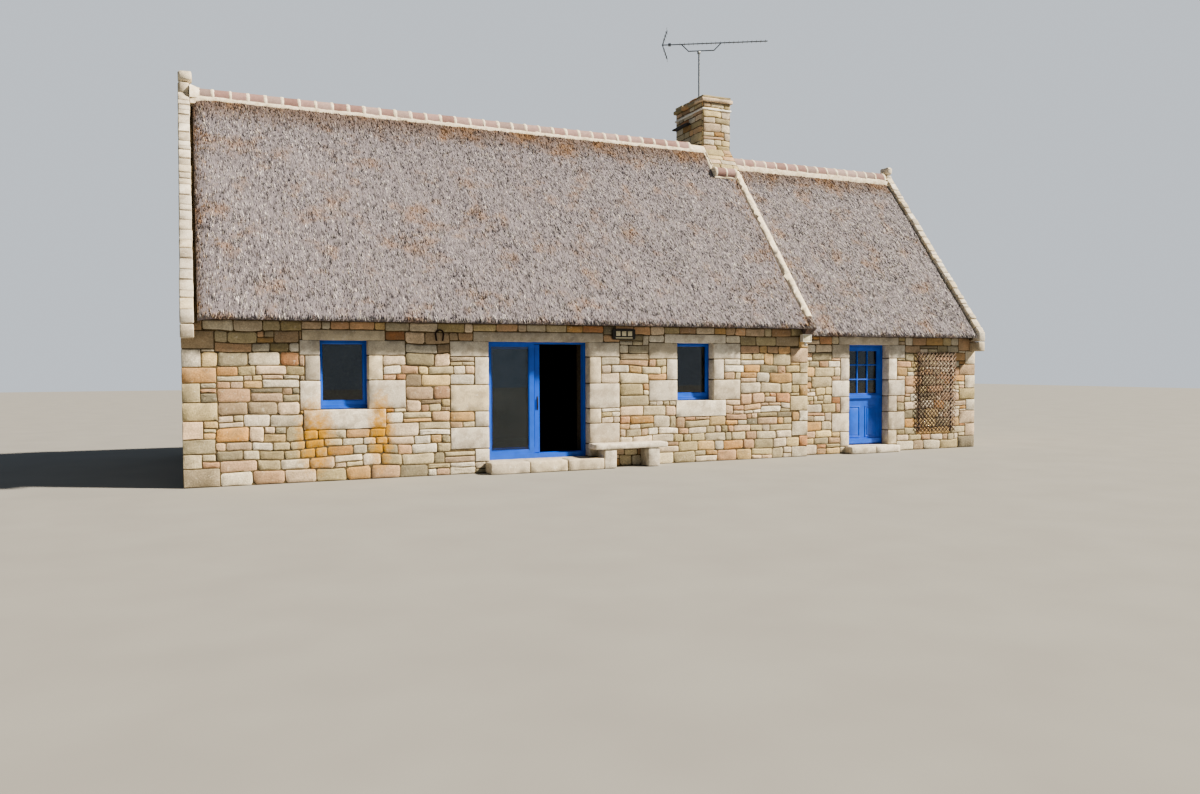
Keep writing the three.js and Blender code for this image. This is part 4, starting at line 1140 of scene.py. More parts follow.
def thatch_bed(roof, notch, back, seed):
    """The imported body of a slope: a lumpy slab with a rounded arris, cut round the chimney."""
    surface = thatch_surface(roof, back, seed)
    x_edges = [roof.x0 + 0.03, roof.x0 + 0.07, roof.x0 + 0.12]
    s_edges = list(ARRIS_PLACES[1:])
    if notch:
        x_edges.append(notch[0])
        s_edges += notch[1:]
    xs = ticks(roof.x0, roof.x1, BED_GRID, x_edges)
    ss = ticks(0.0, roof.length - 0.002, BED_GRID, s_edges)
    grid_x, grid_s = np.meshgrid(xs, ss, indexing="ij")
    drop = np.interp(grid_s, ARRIS_PLACES, ARRIS_DROPS)
    top = roof.point(grid_x, grid_s + 0.02 * (grid_s < 0.01), surface(grid_x, grid_s) - drop)
    share = grid_s / roof.length
    under_y = (roof.arris + 0.07) * (1 - share)
    under_z = np.maximum(roof.eaves + 0.002, roof.apex - roof.drop + roof.slope * under_y + 0.002)
    bottom = np.stack([grid_x, under_y, under_z], axis=-1)
    count_x, count_s = len(xs), len(ss)
    used = np.ones((count_x - 1, count_s - 1), bool)
    if notch:
        x_mid, s_mid = (xs[1:] + xs[:-1]) / 2, (ss[1:] + ss[:-1]) / 2
        used[np.outer(x_mid > notch[0], (s_mid > notch[1]) & (s_mid < notch[2]))] = False
    faces = bed_faces(used, count_s, count_x * count_s)
    points = np.concatenate([top.reshape(-1, 3), bottom.reshape(-1, 3)])
    kept = np.unique(faces)
    renumber = np.zeros(len(points), int)
    renumber[kept] = np.arange(len(kept))
    shells = Shells()
    top_band = np.tile(ridge_band(roof, grid_s).ravel(), 2)[kept]
    tints = np.stack([np.full(len(kept), 0.5), 0.66 - 0.28 * top_band, 0.1 + 0.6 * top_band], axis=1)
    shells.add(mirrored(points[kept], back), renumber[np.array(faces)], tints)
    return shells


def bed_faces(used, count_s, layer):
    """Faces of a slab's used cells: its top, its underside, and its sides where a neighbour isn't used."""
    faces = []
    cells_x, cells_s = used.shape
    for i, j in np.argwhere(used):
        a = i * count_s + j
        b, c, d = a + count_s, a + count_s + 1, a + 1
        faces += [(a, b, c), (a, c, d)]
        faces += [(a + layer, c + layer, b + layer), (a + layer, d + layer, c + layer)]
        neighbours = (((i, j - 1), a, b), ((i + 1, j), b, c), ((i, j + 1), c, d), ((i - 1, j), d, a))
        for (ni, nj), p, q in neighbours:
            if not (0 <= ni < cells_x and 0 <= nj < cells_s and used[ni, nj]):
                faces += [(p, p + layer, q + layer), (p, q + layer, q)]
    return faces


def reeds(roof, x, s, n, sizes, lean, back):
    """Closed slivers of reed lying down the slope, each with its butt end standing out of the thatch."""
    length, width, height = sizes
    shift = lean * length
    root = roof.point(x + shift * 0.6, s + length * 0.6, n - 0.006)
    left = roof.point(x - width / 2 - shift * 0.4, s - length * 0.4, n - 0.005)
    right = roof.point(x + width / 2 - shift * 0.4, s - length * 0.4, n - 0.005)
    tip = roof.point(x - shift * 0.4, s - length * 0.43, n + height)
    points = mirrored(np.stack([root, left, right, tip], axis=1).reshape(-1, 3), back)
    faces = np.array([(0, 2, 1), (0, 1, 3), (0, 3, 2), (1, 2, 3)])
    if back:
        faces = faces[:, ::-1]
    return points, (faces[None] + 4 * np.arange(len(x))[:, None, None]).reshape(-1, 3)


def reed_tints(*columns):
    """Hue, brightness and warmth of every reed, repeated for its four points."""
    return np.repeat(np.stack(columns, axis=1), 4, axis=0)


def reed_cover(shells, roof, end, notch, back, seed, count, warm_at, rng):
    """The visible reeds of a slope, browner near the ridge and at the given places along the house."""
    style = bpy.context.scene.cottage_thatch
    surface = thatch_surface(roof, back, seed)
    x = rng.uniform(roof.x0 + 0.006, end - 0.006, count)
    s = rng.uniform(0.06, roof.length - 0.1, count)
    on_thatch = (x < roof.x1 - 0.006) | (s < VERGE_FOOT + rng.normal(0, 0.02, count))
    x, s = x[on_thatch], s[on_thatch]
    if notch:
        outside = ~((x > notch[0] - 0.01) & (s > notch[1] - 0.05) & (s < notch[2] + 0.12))
        x, s = x[outside], s[outside]
    total = len(x)
    sizes = (
        rng.uniform(0.6, 1.3, total) * style.reed_length,
        rng.uniform(0.6, 1.4, total) * style.reed_width,
        rng.uniform(0.4, 1.5, total) * style.reed_height,
    )
    points, faces = reeds(roof, x, s, surface(x, s), sizes, rng.normal(0, 0.07, total), back)
    top_band = ridge_band(roof, s)
    warmth = 0.75 * top_band
    for place, reach in warm_at:
        warmth = np.maximum(warmth, np.exp(-np.abs(x - place) / reach) * 0.75)
    warmth = np.clip(warmth + rng.normal(0.12, 0.22, total), 0, 1)
    clumps = waves(seed + 2, 0.06)
    value = rng.uniform(0.55, 1.4, total) * (1 + 0.42 * clumps(x, s)) * (1 - 0.35 * top_band)
    # Painted shade: reeds beside the left coping are drawn darker. Some reeds anywhere are dark at random.
    value *= (1 - 0.7 * sunk_and_shaded(roof, x)) * np.where(rng.random(total) < 0.14, 0.45, 1.0)
    value = np.clip(value, 0.2, 1.55)
    shells.add(points, faces, reed_tints(rng.random(total), value, warmth))


def reed_fringe(shells, roof, end, back, rng):
    """The butt ends that hang down over the cut edge of the eaves, ragged and mostly in shade."""
    count = int((end - roof.x0) * FRINGE_PER_METRE)
    x = rng.uniform(roof.x0 + 0.01, end - 0.01, count)
    n = -rng.uniform(0.0, 0.12, count) - 0.004
    length, width, height = (rng.uniform(*limits, count) for limits in FRINGE_SIZES)
    s =-n / roof.slope + length * 0.42 + rng.uniform(-0.012, 0.02, count)
    lean = rng.normal(0, 0.12, count)
    points, faces = reeds(roof, x, s, n - height, (length, width, height), lean, back)
    # Drawn darker than the reeds on the slope: painted shade under the eaves
    value = rng.uniform(0.35, 0.95, count)
    shells.add(points, faces, reed_tints(rng.random(count), value, rng.uniform(0, 0.45, count)))


# Each slope's roof, its side, the notch that the chimney cuts in it (from x, then up the slope from and
# to), and its reeds
SLOPES = {
    "thatch_main_front": (MAIN_ROOF, False, CHIMNEY_SHOULDER, 44000),
    "thatch_main_back": (MAIN_ROOF, True, -CHIMNEY_HIGH[1], 32000),
    "thatch_low_front": (LOW_ROOF, False, None, 17500),
    "thatch_low_back": (LOW_ROOF, True, None, 12500),
}


class COTTAGE_OT_thatch(bpy.types.Operator):
    """Make the four thatched slopes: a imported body, and reeds lying down the slope over it"""

    bl_idname = "cottage.thatch"
    bl_label = "Thatch"

    def execute(self, context):
        for number, (node, (roof, back, foot, count)) in enumerate(SLOPES.items()):
            seed = 500 + 20 * number
            notch = None
            end, warm_at = roof.x1, [(roof.x0, 0.16)]
            if roof is MAIN_ROOF:
                notch = (CHIMNEY_LOW[0] - 0.002, slope_at(roof, foot), BEYOND_RIDGE)
                end, warm_at = roof.x1 + VERGE_WIDTH, [(roof.x0, 0.18), (roof.x1, 0.22)]
            bed = thatch_bed(roof, notch, back, seed)
            # The body is drawn in the darker shades: painted shade between the reeds
            bed.piece(f"{node}_bed", "shaded_under_reed", "reed_thatch", replaces=(node,), smooth=60)
            shells, rng = Shells(), np.random.default_rng(seed)
            reed_cover(shells, roof, end, notch, back, seed, count, warm_at, rng)
            reed_fringe(shells, roof, end, back, rng)
            shells.piece(f"{node}_reeds", "reed", "reed_thatch", outward=False)
        return {"FINISHED"}


# Ridges, verges and copings

ACROSS = np.array([0.0, 1.0, 0.0])
RIDGE_RADIUS, RIDGE_DROP, APRON_RADIUS = 0.159, 0.098, 0.122
TILE_THICKNESS, COLLAR_THICKNESS, COLLAR_PROUD = 0.013, 0.02, 0.006
# Where the arc of a tile and of its collar starts and stops, in degrees, and in how many steps
TILE_ARC, COLLAR_ARC = (-10, 190, 15), (-14, 194, 17)
# The main ridge's last stretch has no tiles, only a mound of mortar
PLAIN_END = 0.36
LUMP_RADII = (0.22, 0.2, 0.178, 0.16)


def loft(shells, rings, tints=(0.5, 0.5, 0.5)):
    """A closed body through rings that all have the same number of points."""
    rings = np.asarray(rings, float)
    points = [rings[0].mean(0), *rings.reshape(-1, 3), rings[-1].mean(0)]
    shells.add(points, ring_faces(len(rings), rings.shape[1]), tints)


class Run:
    """A line along X, with its own directions across it and up from it."""

    def __init__(self, centre, across=ACROSS, up=UP):
        self.centre = np.array(centre, float)
        self.across = across
        self.up = up

    def moved(self, up, across):
        return Run(self.centre + self.up * up + self.across * across, self.across, self.up)

    def section(self, x, points):
        """Places a section's (across, up) points at a place along the line."""
        placed = self.centre + points[:, :1] * self.across + points[:, 1:] * self.up
        placed[:, 0] = x
        return placed


def half_ring(radius, thickness, arc):
    """A half-round section: out along its outer arc and back along its inner one, as (across, up)."""
    start, stop, steps = arc
    angles = np.radians(np.linspace(start, stop, steps))
    outer = np.stack([np.cos(angles), np.sin(angles)], axis=1) * radius
    inner = outer[::-1] * ((radius - thickness) / radius)
    return np.concatenate([outer, inner])


def arch(shells, run, x0, x1, radii, thickness, arc, rings, rng, rough=0.0):
    """A half-round body along a run. Its radius goes from the first of radii to the last."""
    made = []
    for number, x in enumerate(np.linspace(x0, x1, rings)):
        radius = np.interp(number / (rings - 1), np.linspace(0, 1, len(radii)), radii)
        points = run.section(x, half_ring(radius, thickness, arc))
        made.append(points + rng.normal(0, rough, points.shape) if rough else points)
    loft(shells, made, rng.random(3))


def tile_row(tiles, mortar, run, x0, x1, radius, seed):
    """Half-round tiles along a run. An arched collar of mortar closes each joint."""
    sizes = bpy.context.scene.cottage_roof
    rng = np.random.default_rng(seed)
    count = max(1, round((x1 - x0) / sizes.tile_length))
    edges = np.linspace(x0, x1, count + 1)
    for start, stop in zip(edges, edges[1:]):
        jogged = run.moved(rng.normal(0, 0.0015), rng.normal(0, 0.002))
        radii = (radius - 0.005, radius - 0.001)
        arch(tiles, jogged, start + 0.002, stop - 0.002, radii, TILE_THICKNESS, TILE_ARC, 3, rng)
    edge, bulge = radius - 0.002, radius + COLLAR_PROUD
    for x in edges:
        half = sizes.collar * rng.uniform(0.85, 1.2) / 2
        radii = (edge, bulge, bulge, edge)
        arch(mortar, run, x - half, x + half, radii, COLLAR_THICKNESS, COLLAR_ARC, 4, rng, 0.0016)


def mortar_bed(shells, run, x0, x1, profile, seed):
    """A lumpy strip of mortar along a run with the given profile of (across, up) points."""
    rng = np.random.default_rng(seed)
    profile = np.array(profile)
    rings = []
    for x in np.linspace(x0, x1, max(3, int((x1 - x0) / 0.09))):
        rings.append(run.section(x, profile + rng.normal(0, 0.0035, profile.shape)))
    loft(shells, rings)


def mirrored_profile(side, between=()):
    """A section from the points of its front side, the ones between, and the front side turned over."""
    return [*side, *between, *((-across, up) for across, up in reversed(side))]


def ridge_profile(roof):
    """The mortar under the tiles: a saddle that comes down onto the thatch on both sides."""
    side = [(0.176, -0.15), (0.174, -0.06), (0.166, -0.022), (0.152, -0.008), (0.12, 0.03)]
    if roof is LOW_ROOF:
        foot = 0.172
        surface = RIDGE_DROP - roof.slope * foot
        side = [(foot, surface - 0.04), (foot, surface + 0.01)]
        side += [(0.166, -0.045), (0.152, -0.024), (0.12, 0.02)]
    return mirrored_profile(side, [(0.0, 0.08)]) + [(0.0, -0.2)]


class COTTAGE_OT_ridges(bpy.types.Operator):
    """Bed half-round clay tiles along both ridges and on the apron below the chimney's haunch"""

    bl_idname = "cottage.ridges"
    bl_label = "Ridge tiles"

    def execute(self, context):
        self.ridge("ridge_main", MAIN_ROOF)
        self.ridge("ridge_low", LOW_ROOF)
        self.apron()
        return {"FINISHED"}

    def ridge(self, node, roof):
        """The mortar runs on under its neighbours, and stands in a lump beside the left coping."""
        low, high = corner_low(node)[0], corner_high(node)[0]
        run = Run((0.0, 0.0, roof.apex - RIDGE_DROP))
        tiles, mortar = Shells(), Shells()
        if roof is MAIN_ROOF:
            stop = high - PLAIN_END - 0.03
            tile_row(tiles, mortar, run, low + 0.03, stop, RIDGE_RADIUS, 700)
            mortar_bed(mortar, run, low - 0.04, high, ridge_profile(roof), 710)
            rng = np.random.default_rng(705)
            arch(mortar, run, low - 0.04, low + 0.11, LUMP_RADII, 0.06, COLLAR_ARC, 5, rng, 0.004)
            mound = mirrored_profile([(0.15, -0.04), (0.12, 0.05), (0.05, 0.105)])
            mortar_bed(mortar, run, stop, high, mound, 720)
        else:
            tile_row(tiles, mortar, run, low + 0.03, high - 0.03, RIDGE_RADIUS, 701)
            mortar_bed(mortar, run, low, high + 0.04, ridge_profile(roof), 711)
        tiles.piece(f"tiles_{node}", "tile", "ridge_tile", replaces=(node,), smooth=40)
        mortar.piece(f"mortar_{node}", "mortar", "lime_mortar", smooth=50)

    def apron(self):
        """A row of tiles at the foot of the chimney's haunch, and the mortar that runs up beside it."""
        node = "chimney_apron_tiles"
        low, high = corner_low(node), corner_high(node)
        middle = (low[1] + high[1]) / 2 - 0.004
        crest = np.array([0.0, middle, MAIN_ROOF.top(middle)]) + MAIN_ROOF.out * 0.022
        run = Run(crest, MAIN_ROOF.along, MAIN_ROOF.out)
        tiles, mortar = Shells(), Shells()
        tile_row(tiles, mortar, run, low[0] + 0.02, high[0] - 0.02, APRON_RADIUS, 730)
        strip = [
            (-0.15, -0.05), (-0.145, 0.005), (-0.105, 0.022), (-0.08, 0.02), (0.08, 0.04), (0.12, 0.02),
            (0.12, -0.05),
        ]
        mortar_bed(mortar, run, low[0] - 0.01, high[0], strip, 731)
        beside = (CHIMNEY_LOW[0] - 0.075, CHIMNEY_LOW[0] + 0.02)
        up_to = (slope_at(MAIN_ROOF, CHIMNEY_SHOULDER) - 0.05, MAIN_ROOF.length - 0.1)
        slope_strip(mortar, MAIN_ROOF, beside, up_to, (-0.12, 0.04), False, 732, 0.07, 0.006)
        tiles.piece("tiles_apron", "tile", "ridge_tile", replaces=(node,), smooth=40)
        mortar.piece("mortar_apron", "mortar", "lime_mortar", smooth=50)


def slope_strip(shells, roof, x_ends, s_ends, n_ends, back, seed, step=0.1, rough=0.004):
    """A lumpy band of mortar that runs up a slope. It goes no further than the second of x_ends."""
    rng = np.random.default_rng(seed)
    (x0, x1), (n0, n1) = x_ends, n_ends
    rings = []
    for s in np.linspace(*s_ends, max(3, int((s_ends[1] - s_ends[0]) / step))):
        left = x0 + rng.normal(0, 2 * rough)
        xs = np.array([left, left + 0.02, (x0 + x1) / 2, x1 - 0.02, x1, x1, left])
        ns = np.array([n1 - 0.03, n1 - 0.008, n1, n1 - 0.006, n1 - 0.02, n0, n0])
        xs[:4] += rng.normal(0, rough, 4)
        ns[:5] -= np.abs(rng.normal(0, rough, 5))
        rings.append(mirrored(roof.point(xs, np.full(7, s), ns), back))
    loft(shells, rings)


class COTTAGE_OT_verges(bpy.types.Operator):
    """Trowel the mortar band where the main roof stops above the wing"""

    bl_idname = "cottage.verges"
    bl_label = "Verges"

    def execute(self, context):
        self.verge("verge_front", False)
        self.verge("verge_back", True)
        return {"FINISHED"}

    def verge(self, node, back):
        """Mortar from a little above the eaves to the ridge, and packed reed below it."""
        low, high = corner_low(node), corner_high(node)
        top = -low[1] if back else high[1]
        ends = (low[0] + 0.05, high[0]), (VERGE_FOOT, slope_at(MAIN_ROOF, top) - 0.01)
        shells = Shells()
        slope_strip(shells, MAIN_ROOF, *ends, (-0.26, 0.012), back, 740, 0.07, 0.008)
        shells.piece(f"mortar_{node}", "mortar", "lime_mortar", replaces=(node,), smooth=50)
        ends = (low[0] + 0.002, high[0] - 0.004), (0.03, VERGE_FOOT + 0.02)
        foot = Shells()
        slope_strip(foot, MAIN_ROOF, *ends, (-0.25, -0.012), back, 741, 0.06)
        # Drawn in the thatch body's darker shades: painted shade
        foot.piece(f"reed_{node}_foot", "shaded_under_reed", "reed_thatch", smooth=60)


def coping(shells, node, roof, wall, seed):
    """Coping stones up both slopes, a kneeler of two stones at each foot and a stone on the apex."""
    low, high = corner_low(node), corner_high(node)
    rng = np.random.default_rng(seed)
    for back in (False, True):
        coping_slope(shells, low, high, roof, back, seed, rng)
        side = -1 if back else 1
        ys = sorted((side * roof.arris, side * wall))
        middle = roof.eaves - 0.09
        for z0, z1 in ((roof.eaves - 0.3, middle), (middle, roof.eaves + 0.12)):
            start = (low[0] + 0.004, ys[0] + 0.003, z0 + 0.003)
            end = (high[0] - 0.004, ys[1] - 0.003, z1 - 0.003)
            hewn_block(shells, start, end, seed + int(z0 * 100) + back, chamfer=0.02, rough=0.004)
    wider = 0.04 if roof is MAIN_ROOF else 0.0
    seat = high[2] - 0.19
    apex_stones = ((roof.apex - 0.1, seat, 0.12, 0.0), (seat, high[2], 0.14, wider))
    for number, (z0, z1, half, reach) in enumerate(apex_stones):
        start, end = (low[0] + 0.003, -half, z0), (high[0] + reach - 0.003, half, z1 - 0.003)
        hewn_block(shells, start, end, seed + 7 + number, chamfer=0.045, rough=0.009)


def coping_slope(shells, low, high, roof, back, seed, rng):
    """One slope's row of coping stones, of uneven lengths and heights."""

    def turn(points):
        return mirrored(roof.point(points[:, 0], points[:, 1], points[:, 2]), back)

    proud = 0.12 / roof.rake
    s = 0.1
    while s < roof.length - 0.12:
        stop = min(roof.length - 0.04, s + rng.uniform(0.1, 0.24))
        lift = rng.uniform(-0.02, 0.0)
        start = (low[0] + rng.uniform(0.002, 0.012), s + 0.004, -0.28)
        end = (high[0] - rng.uniform(0.002, 0.012), stop - 0.004, proud + lift)
        hewn_block(shells, start, end, seed + int(s * 1000), chamfer=0.018, rough=0.004, turn=turn)
        s = stop


def crack_shade_filler(shells, roof, x0, x1, seed):
    """Dark mortar deep in the crack between a coping and the thatch beside it. It closes the crack, and its
    dark colour is painted shade for the crack.
    """
    for back in (False, True):
        ends = (x0 - 0.004, x1 + 0.004), (0.08, roof.length), (-0.22, -0.14)
        slope_strip(shells, roof, *ends, back, seed, rough=0.001)


class COTTAGE_OT_copings(bpy.types.Operator):
    """Set the coping stones on both gables"""

    bl_idname = "cottage.copings"
    bl_label = "Gable copings"

    def execute(self, context):
        gables = (("left", MAIN_ROOF, MAIN_FRONT, 760), ("right", LOW_ROOF, LOW_FRONT, 780))
        for side, roof, wall, seed in gables:
            node = f"{side}_coping"
            shells = Shells()
            coping(shells, node, roof, wall, seed)
            shells.piece(f"coping_stones_{side}", "dressed", "dressed_granite", replaces=(node,), smooth=50)
        shells = Shells()
        crack_shade_filler(shells, MAIN_ROOF, corner_high("left_coping")[0], MAIN_ROOF.x0, 790)
        crack_shade_filler(shells, LOW_ROOF, LOW_ROOF.x1, corner_low("right_coping")[0], 792)
        # Dark mortar closes the cracks and stands for the shade in them: painted shade
        shells.piece("dark_filler_for_crack_shade", "joints", "lime_mortar", smooth=50)
        return {"FINISHED"}


# Chimney

CHIMNEY_NECK = corner_low("chimney_cap")[2] - SEAT
# Half the flue's size along and across the house
FLUE_X, FLUE_Y = 0.15, 0.3
BAND_HEIGHTS, BAND_REACH = (7.405, 7.445), 0.03
LEDGE_HEIGHTS = (7.202, 7.238)


class COTTAGE_OT_chimney(bpy.types.Operator):
    """Face the chimney with stones, and add its cap, pale band and slate ledge"""

    bl_idname = "cottage.chimney"
    bl_label = "Chimney"

    def execute(self, context):
        paint_nodes(("chimney_stack",), "joints")
        x0, x1 = CHIMNEY_LOW[0], CHIMNEY_HIGH[0]
        y0, y1 = CHIMNEY_LOW[1], CHIMNEY_HIGH[1]
        self.faces(x0, x1, y0, y1)
        self.cap((x0 + x1) / 2, (y0 + y1) / 2)
        self.trim(x0, x1, y0, y1)
        return {"FINISHED"}

    def faces(self, x0, x1, y0, y1):
        """Stones on the four faces, on the haunch's two sides and on its slope."""
        front = Face((0, y0, 0), (1, 0, 0), (0, -1, 0))
        back = Face((0, y1, 0), (1, 0, 0), (0, 1, 0))
        left = Face((x0, 0, 0), (0, 1, 0), (-1, 0, 0))
        right = Face((x1, 0, 0), (0, 1, 0), (1, 0, 0))
        main, wing = MAIN_ROOF, LOW_ROOF
        stretches = (
            (front, x0, x1, main.top(y0) - 0.05),
            (back, x0, x1, main.top(y1) - 0.15),
            (left, y0, 0.0, main.apex - 0.15),
            (left, 0.0, y1, main.top(y1) - 0.1),
            (right, y0, 0.0, wing.apex - 0.1),
            (right, 0.0, y1, wing.top(y1) - 0.1),
        )
        shells = Shells()
        for number, (face, start, stop, foot) in enumerate(stretches):
            lay_rubble(shells, face, (start, stop, foot, CHIMNEY_NECK), [], 800 + 10 * number)
        under_haunch = (lambda p: main.apex + 0.02 + main.slope * p[0] - p[1],)
        foot = main.top(CHIMNEY_SHOULDER) - 0.1
        for face, low, seed in ((left, foot, 860), (right, foot - 0.3, 870)):
            region = (CHIMNEY_SHOULDER, y0, low, main.top(y0))
            lay_rubble(shells, face, region, [], seed, under_haunch)
        slope = Face(main.point(0.0, 0.0, 0.0186), (1, 0, 0), main.out, main.along)
        region = (x0 + 0.02, x1, slope_at(main, CHIMNEY_SHOULDER), slope_at(main, y0) + 0.01)
        lay_rubble(shells, slope, region, [], 880)
        shells.piece("chimney_stones", "rubble", "rubble_granite", smooth=48)

    def cap(self, x, y):
        """Thick weathered slabs round the flue in two layers, uneven on top."""
        low, high = corner_low("chimney_cap"), corner_high("chimney_cap")
        slabs = (
            (low[0], low[1], high[0], y - FLUE_Y),
            (low[0], y + FLUE_Y, high[0], high[1]),
            (low[0], y - FLUE_Y, x - FLUE_X, y),
            (low[0], y, x - FLUE_X, y + FLUE_Y),
            (x + FLUE_X, y - FLUE_Y, high[0], y + FLUE_Y * 0.2),
            (x + FLUE_X, y + FLUE_Y * 0.2, high[0], y + FLUE_Y),
        )
        shells = Shells()
        rng = np.random.default_rng(890)
        for number, (ax, ay, bx, by) in enumerate(slabs):
            middle = CHIMNEY_NECK + rng.uniform(0.085, 0.1)
            top = high[2] - rng.uniform(0.0, 0.02)
            inset = rng.uniform(0.025, 0.05)
            start, end = (ax, ay + 0.002, CHIMNEY_NECK + 0.001), (bx, by - 0.002, middle)
            hewn_block(shells, start, end, 891 + number, chamfer=0.02, rough=0.005)
            start = (ax + inset * (ax == low[0]), ay + inset * (ay == low[1]) + 0.002, middle - 0.01)
            end = (bx - inset * (bx == high[0]), by - inset * (by == high[1]) - 0.002, top)
            hewn_block(shells, start, end, 901 + number, chamfer=0.035, rough=0.008)
        shells.piece("cap_stones", "rubble", "dressed_granite", replaces=("chimney_cap",), smooth=50)

    def trim(self, x0, x1, y0, y1):
        """A pale band round the neck, mortar up the haunch's left edge and a slate ledge at the back."""
        band = Shells()
        left, right, front, back = x0 - BAND_REACH, x1 + BAND_REACH, y0 - BAND_REACH, y1 + BAND_REACH
        sides = (
            (left, front, right, y0 + 0.01),
            (left, y1 - 0.01, right, back),
            (left, y0 + 0.01, x0 + 0.01, y1 - 0.01),
            (x1 - 0.01, y0 + 0.01, right, y1 - 0.01),
        )
        for ax, ay, bx, by in sides:
            start, end = (ax, ay, BAND_HEIGHTS[0]), (bx, by, BAND_HEIGHTS[1])
            hewn_block(band, start, end, 910, chamfer=0.008, rough=0.002)
        band.piece("chimney_band", "limewash", "lime_mortar", smooth=50)
        shells = Shells()
        up_to = (slope_at(MAIN_ROOF, CHIMNEY_SHOULDER), slope_at(MAIN_ROOF, y0) + 0.05)
        slope_strip(shells, MAIN_ROOF, (x0 - 0.03, x0 + 0.022), up_to, (-0.05, 0.05), False, 911, 0.06)
        shells.piece("chimney_mortar", "mortar", "lime_mortar", smooth=50)
        ledge = Shells()
        start, end = (x0 - 0.113, y1 - 0.673, LEDGE_HEIGHTS[0]), (x0 + 0.02, y1 + 0.003, LEDGE_HEIGHTS[1])
        hewn_block(ledge, start, end, 912, chamfer=0.006, rough=0.002)
        ledge.piece("slate_ledge", "slate", "dressed_granite", smooth=40)


# Joinery

WINDOWS = ("window_1", "window_2", "back_window_left", "back_window_right", "low_back_window")
SASH_STEP, SASH_WIDTH, BEAD_WIDTH = 0.026, 0.034, 0.014
# The knob's and the floodlight sensor's outlines, as (radius, place along the axis)
KNOB = [
    (0.021, 0.001), (0.024, -0.003), (0.02, -0.006), (0.008, -0.008), (0.008, -0.028), (0.019, -0.034),
    (0.025, -0.044), (0.022, -0.054), (0.01, -0.059),
]
SENSOR = [(0.012, -0.002), (0.016, -0.02), (0.028, -0.032), (0.034, -0.048), (0.03, -0.066), (0.014, -0.08)]


def span(node):
    """The lowest and the highest corner of a part."""
    return corner_low(node), corner_high(node)


def planed(shells, low, high, chamfer=0.003):
    """A planed bar or rail with its arrises eased."""
    hewn_block(shells, low, high, 1, chamfer=chamfer, rough=0.0, pitch=9.0, tints=(0.5, 0.5, 0.5))


def bead_ring(shells, x0, x1, z0, z1, y0, y1, width):
    """Four beads round the inside of a rectangle."""
    planed(shells, (x0, y0, z0), (x1, y1, z0 + width))
    planed(shells, (x0, y0, z1 - width), (x1, y1, z1))
    planed(shells, (x0, y0, z0 + width), (x0 + width, y1, z1 - width))
    planed(shells, (x1 - width, y0, z0 + width), (x1, y1, z1 - width))


def glazing_beads(shells, low, high, y0, y1):
    """Four beads round the edge of a pane."""
    bead_ring(shells, low[0] - 0.001, high[0] + 0.001, low[2] - 0.001, high[2] + 0.001, y0, y1, BEAD_WIDTH)


def turned(shells, profile, centre, axis, sides):
    """A round body along Y (axis 1) or Z (axis 2), from the points of its profile."""
    angles = np.linspace(0, 2 * math.pi, sides, endpoint=False)
    rings = []
    for radius, along in profile:
        ring = np.tile(np.array(centre, float), (sides, 1))
        ring[:, 0] += radius * np.cos(angles)
        ring[:, 3 - axis] += radius * np.sin(angles)
        ring[:, axis] += along
        rings.append(ring)
    loft(shells, rings)


class COTTAGE_OT_windows(bpy.types.Operator):
    """Paint the window frames, and add each casement's edge, glazing beads and weather bar"""

    bl_idname = "cottage.windows"
    bl_label = "Windows"

    def execute(self, context):
        paint_nodes([f"{name}_frame" for name in WINDOWS], "paint")
        paint_nodes([f"{name}_glass" for name in WINDOWS], "glass")
        for name in WINDOWS:
            self.casement(name)
        return {"FINISHED"}

    def casement(self, name):
        low, high = span(f"{name}_glass")
        frame_low, frame_high = span(f"{name}_frame")
        outward, face, glass_face = 1, frame_high[1], high[1]
        if low[1] < 0:
            outward, face, glass_face = -1, frame_low[1], low[1]
        x0, x1 = frame_low[0] + SASH_STEP, frame_high[0] - SASH_STEP
        z0, z1 = frame_low[2] + SASH_STEP + 0.01, frame_high[2] - SASH_STEP
        shells = Shells()
        y0, y1 = sorted((face + outward * 0.007, face - outward * 0.01))
        bead_ring(shells, x0, x1, z0, z1, y0, y1, SASH_WIDTH)
        y0, y1 = sorted((glass_face + outward * 0.001, glass_face + outward * 0.016))
        glazing_beads(shells, low, high, y0, y1)
        y0, y1 = sorted((face + outward * 0.03, face))
        planed(shells, (x0, y0, frame_low[2] + 0.012), (x1, y1, frame_low[2] + 0.04))
        shells.piece(f"{name}_joinery", "paint", "blue_paint", smooth=30)


class COTTAGE_OT_patio_door(bpy.types.Operator):
    """Paint the patio door, and add the beads of both leaves and the pull of the sliding one"""

    bl_idname = "cottage.patio_door"
    bl_label = "Patio door"

    def execute(self, context):
        paint_nodes(("patio_door_frame", "patio_sliding_leaf"), "paint")
        paint_nodes(("patio_fixed_glass", "patio_sliding_glass"), "glass")
        for node, body in (("patio_fixed_glass", HOUSE), ("patio_sliding_glass", "sliding_leaf")):
            low, high = span(node)
            shells = Shells()
            glazing_beads(shells, low, high, low[1] - 0.014, low[1] - 0.001)
            glazing_beads(shells, low, high, high[1] + 0.001, high[1] + 0.014)
            shells.piece(f"{node}_beads", "paint", "blue_paint", body=body, smooth=30)
        self.pull()
        return {"FINISHED"}

    def pull(self):
        """A slim bar on two posts, and the plate behind it."""
        low, high = span("patio_sliding_leaf")
        x, front = high[0] - 0.04, low[1]
        shells = Shells()
        planed(shells, (x - 0.012, front - 0.005, 1.02), (x + 0.012, front + 0.001, 1.26), 0.002)
        planed(shells, (x - 0.008, front - 0.022, 1.05), (x + 0.008, front - 0.016, 1.23), 0.002)
        for z in (1.06, 1.21):
            planed(shells, (x - 0.005, front - 0.018, z), (x + 0.005, front - 0.004, z + 0.012), 0.001)
        shells.piece("patio_pull", "dark_plastic", "dark_lamp", body="sliding_leaf", smooth=30)


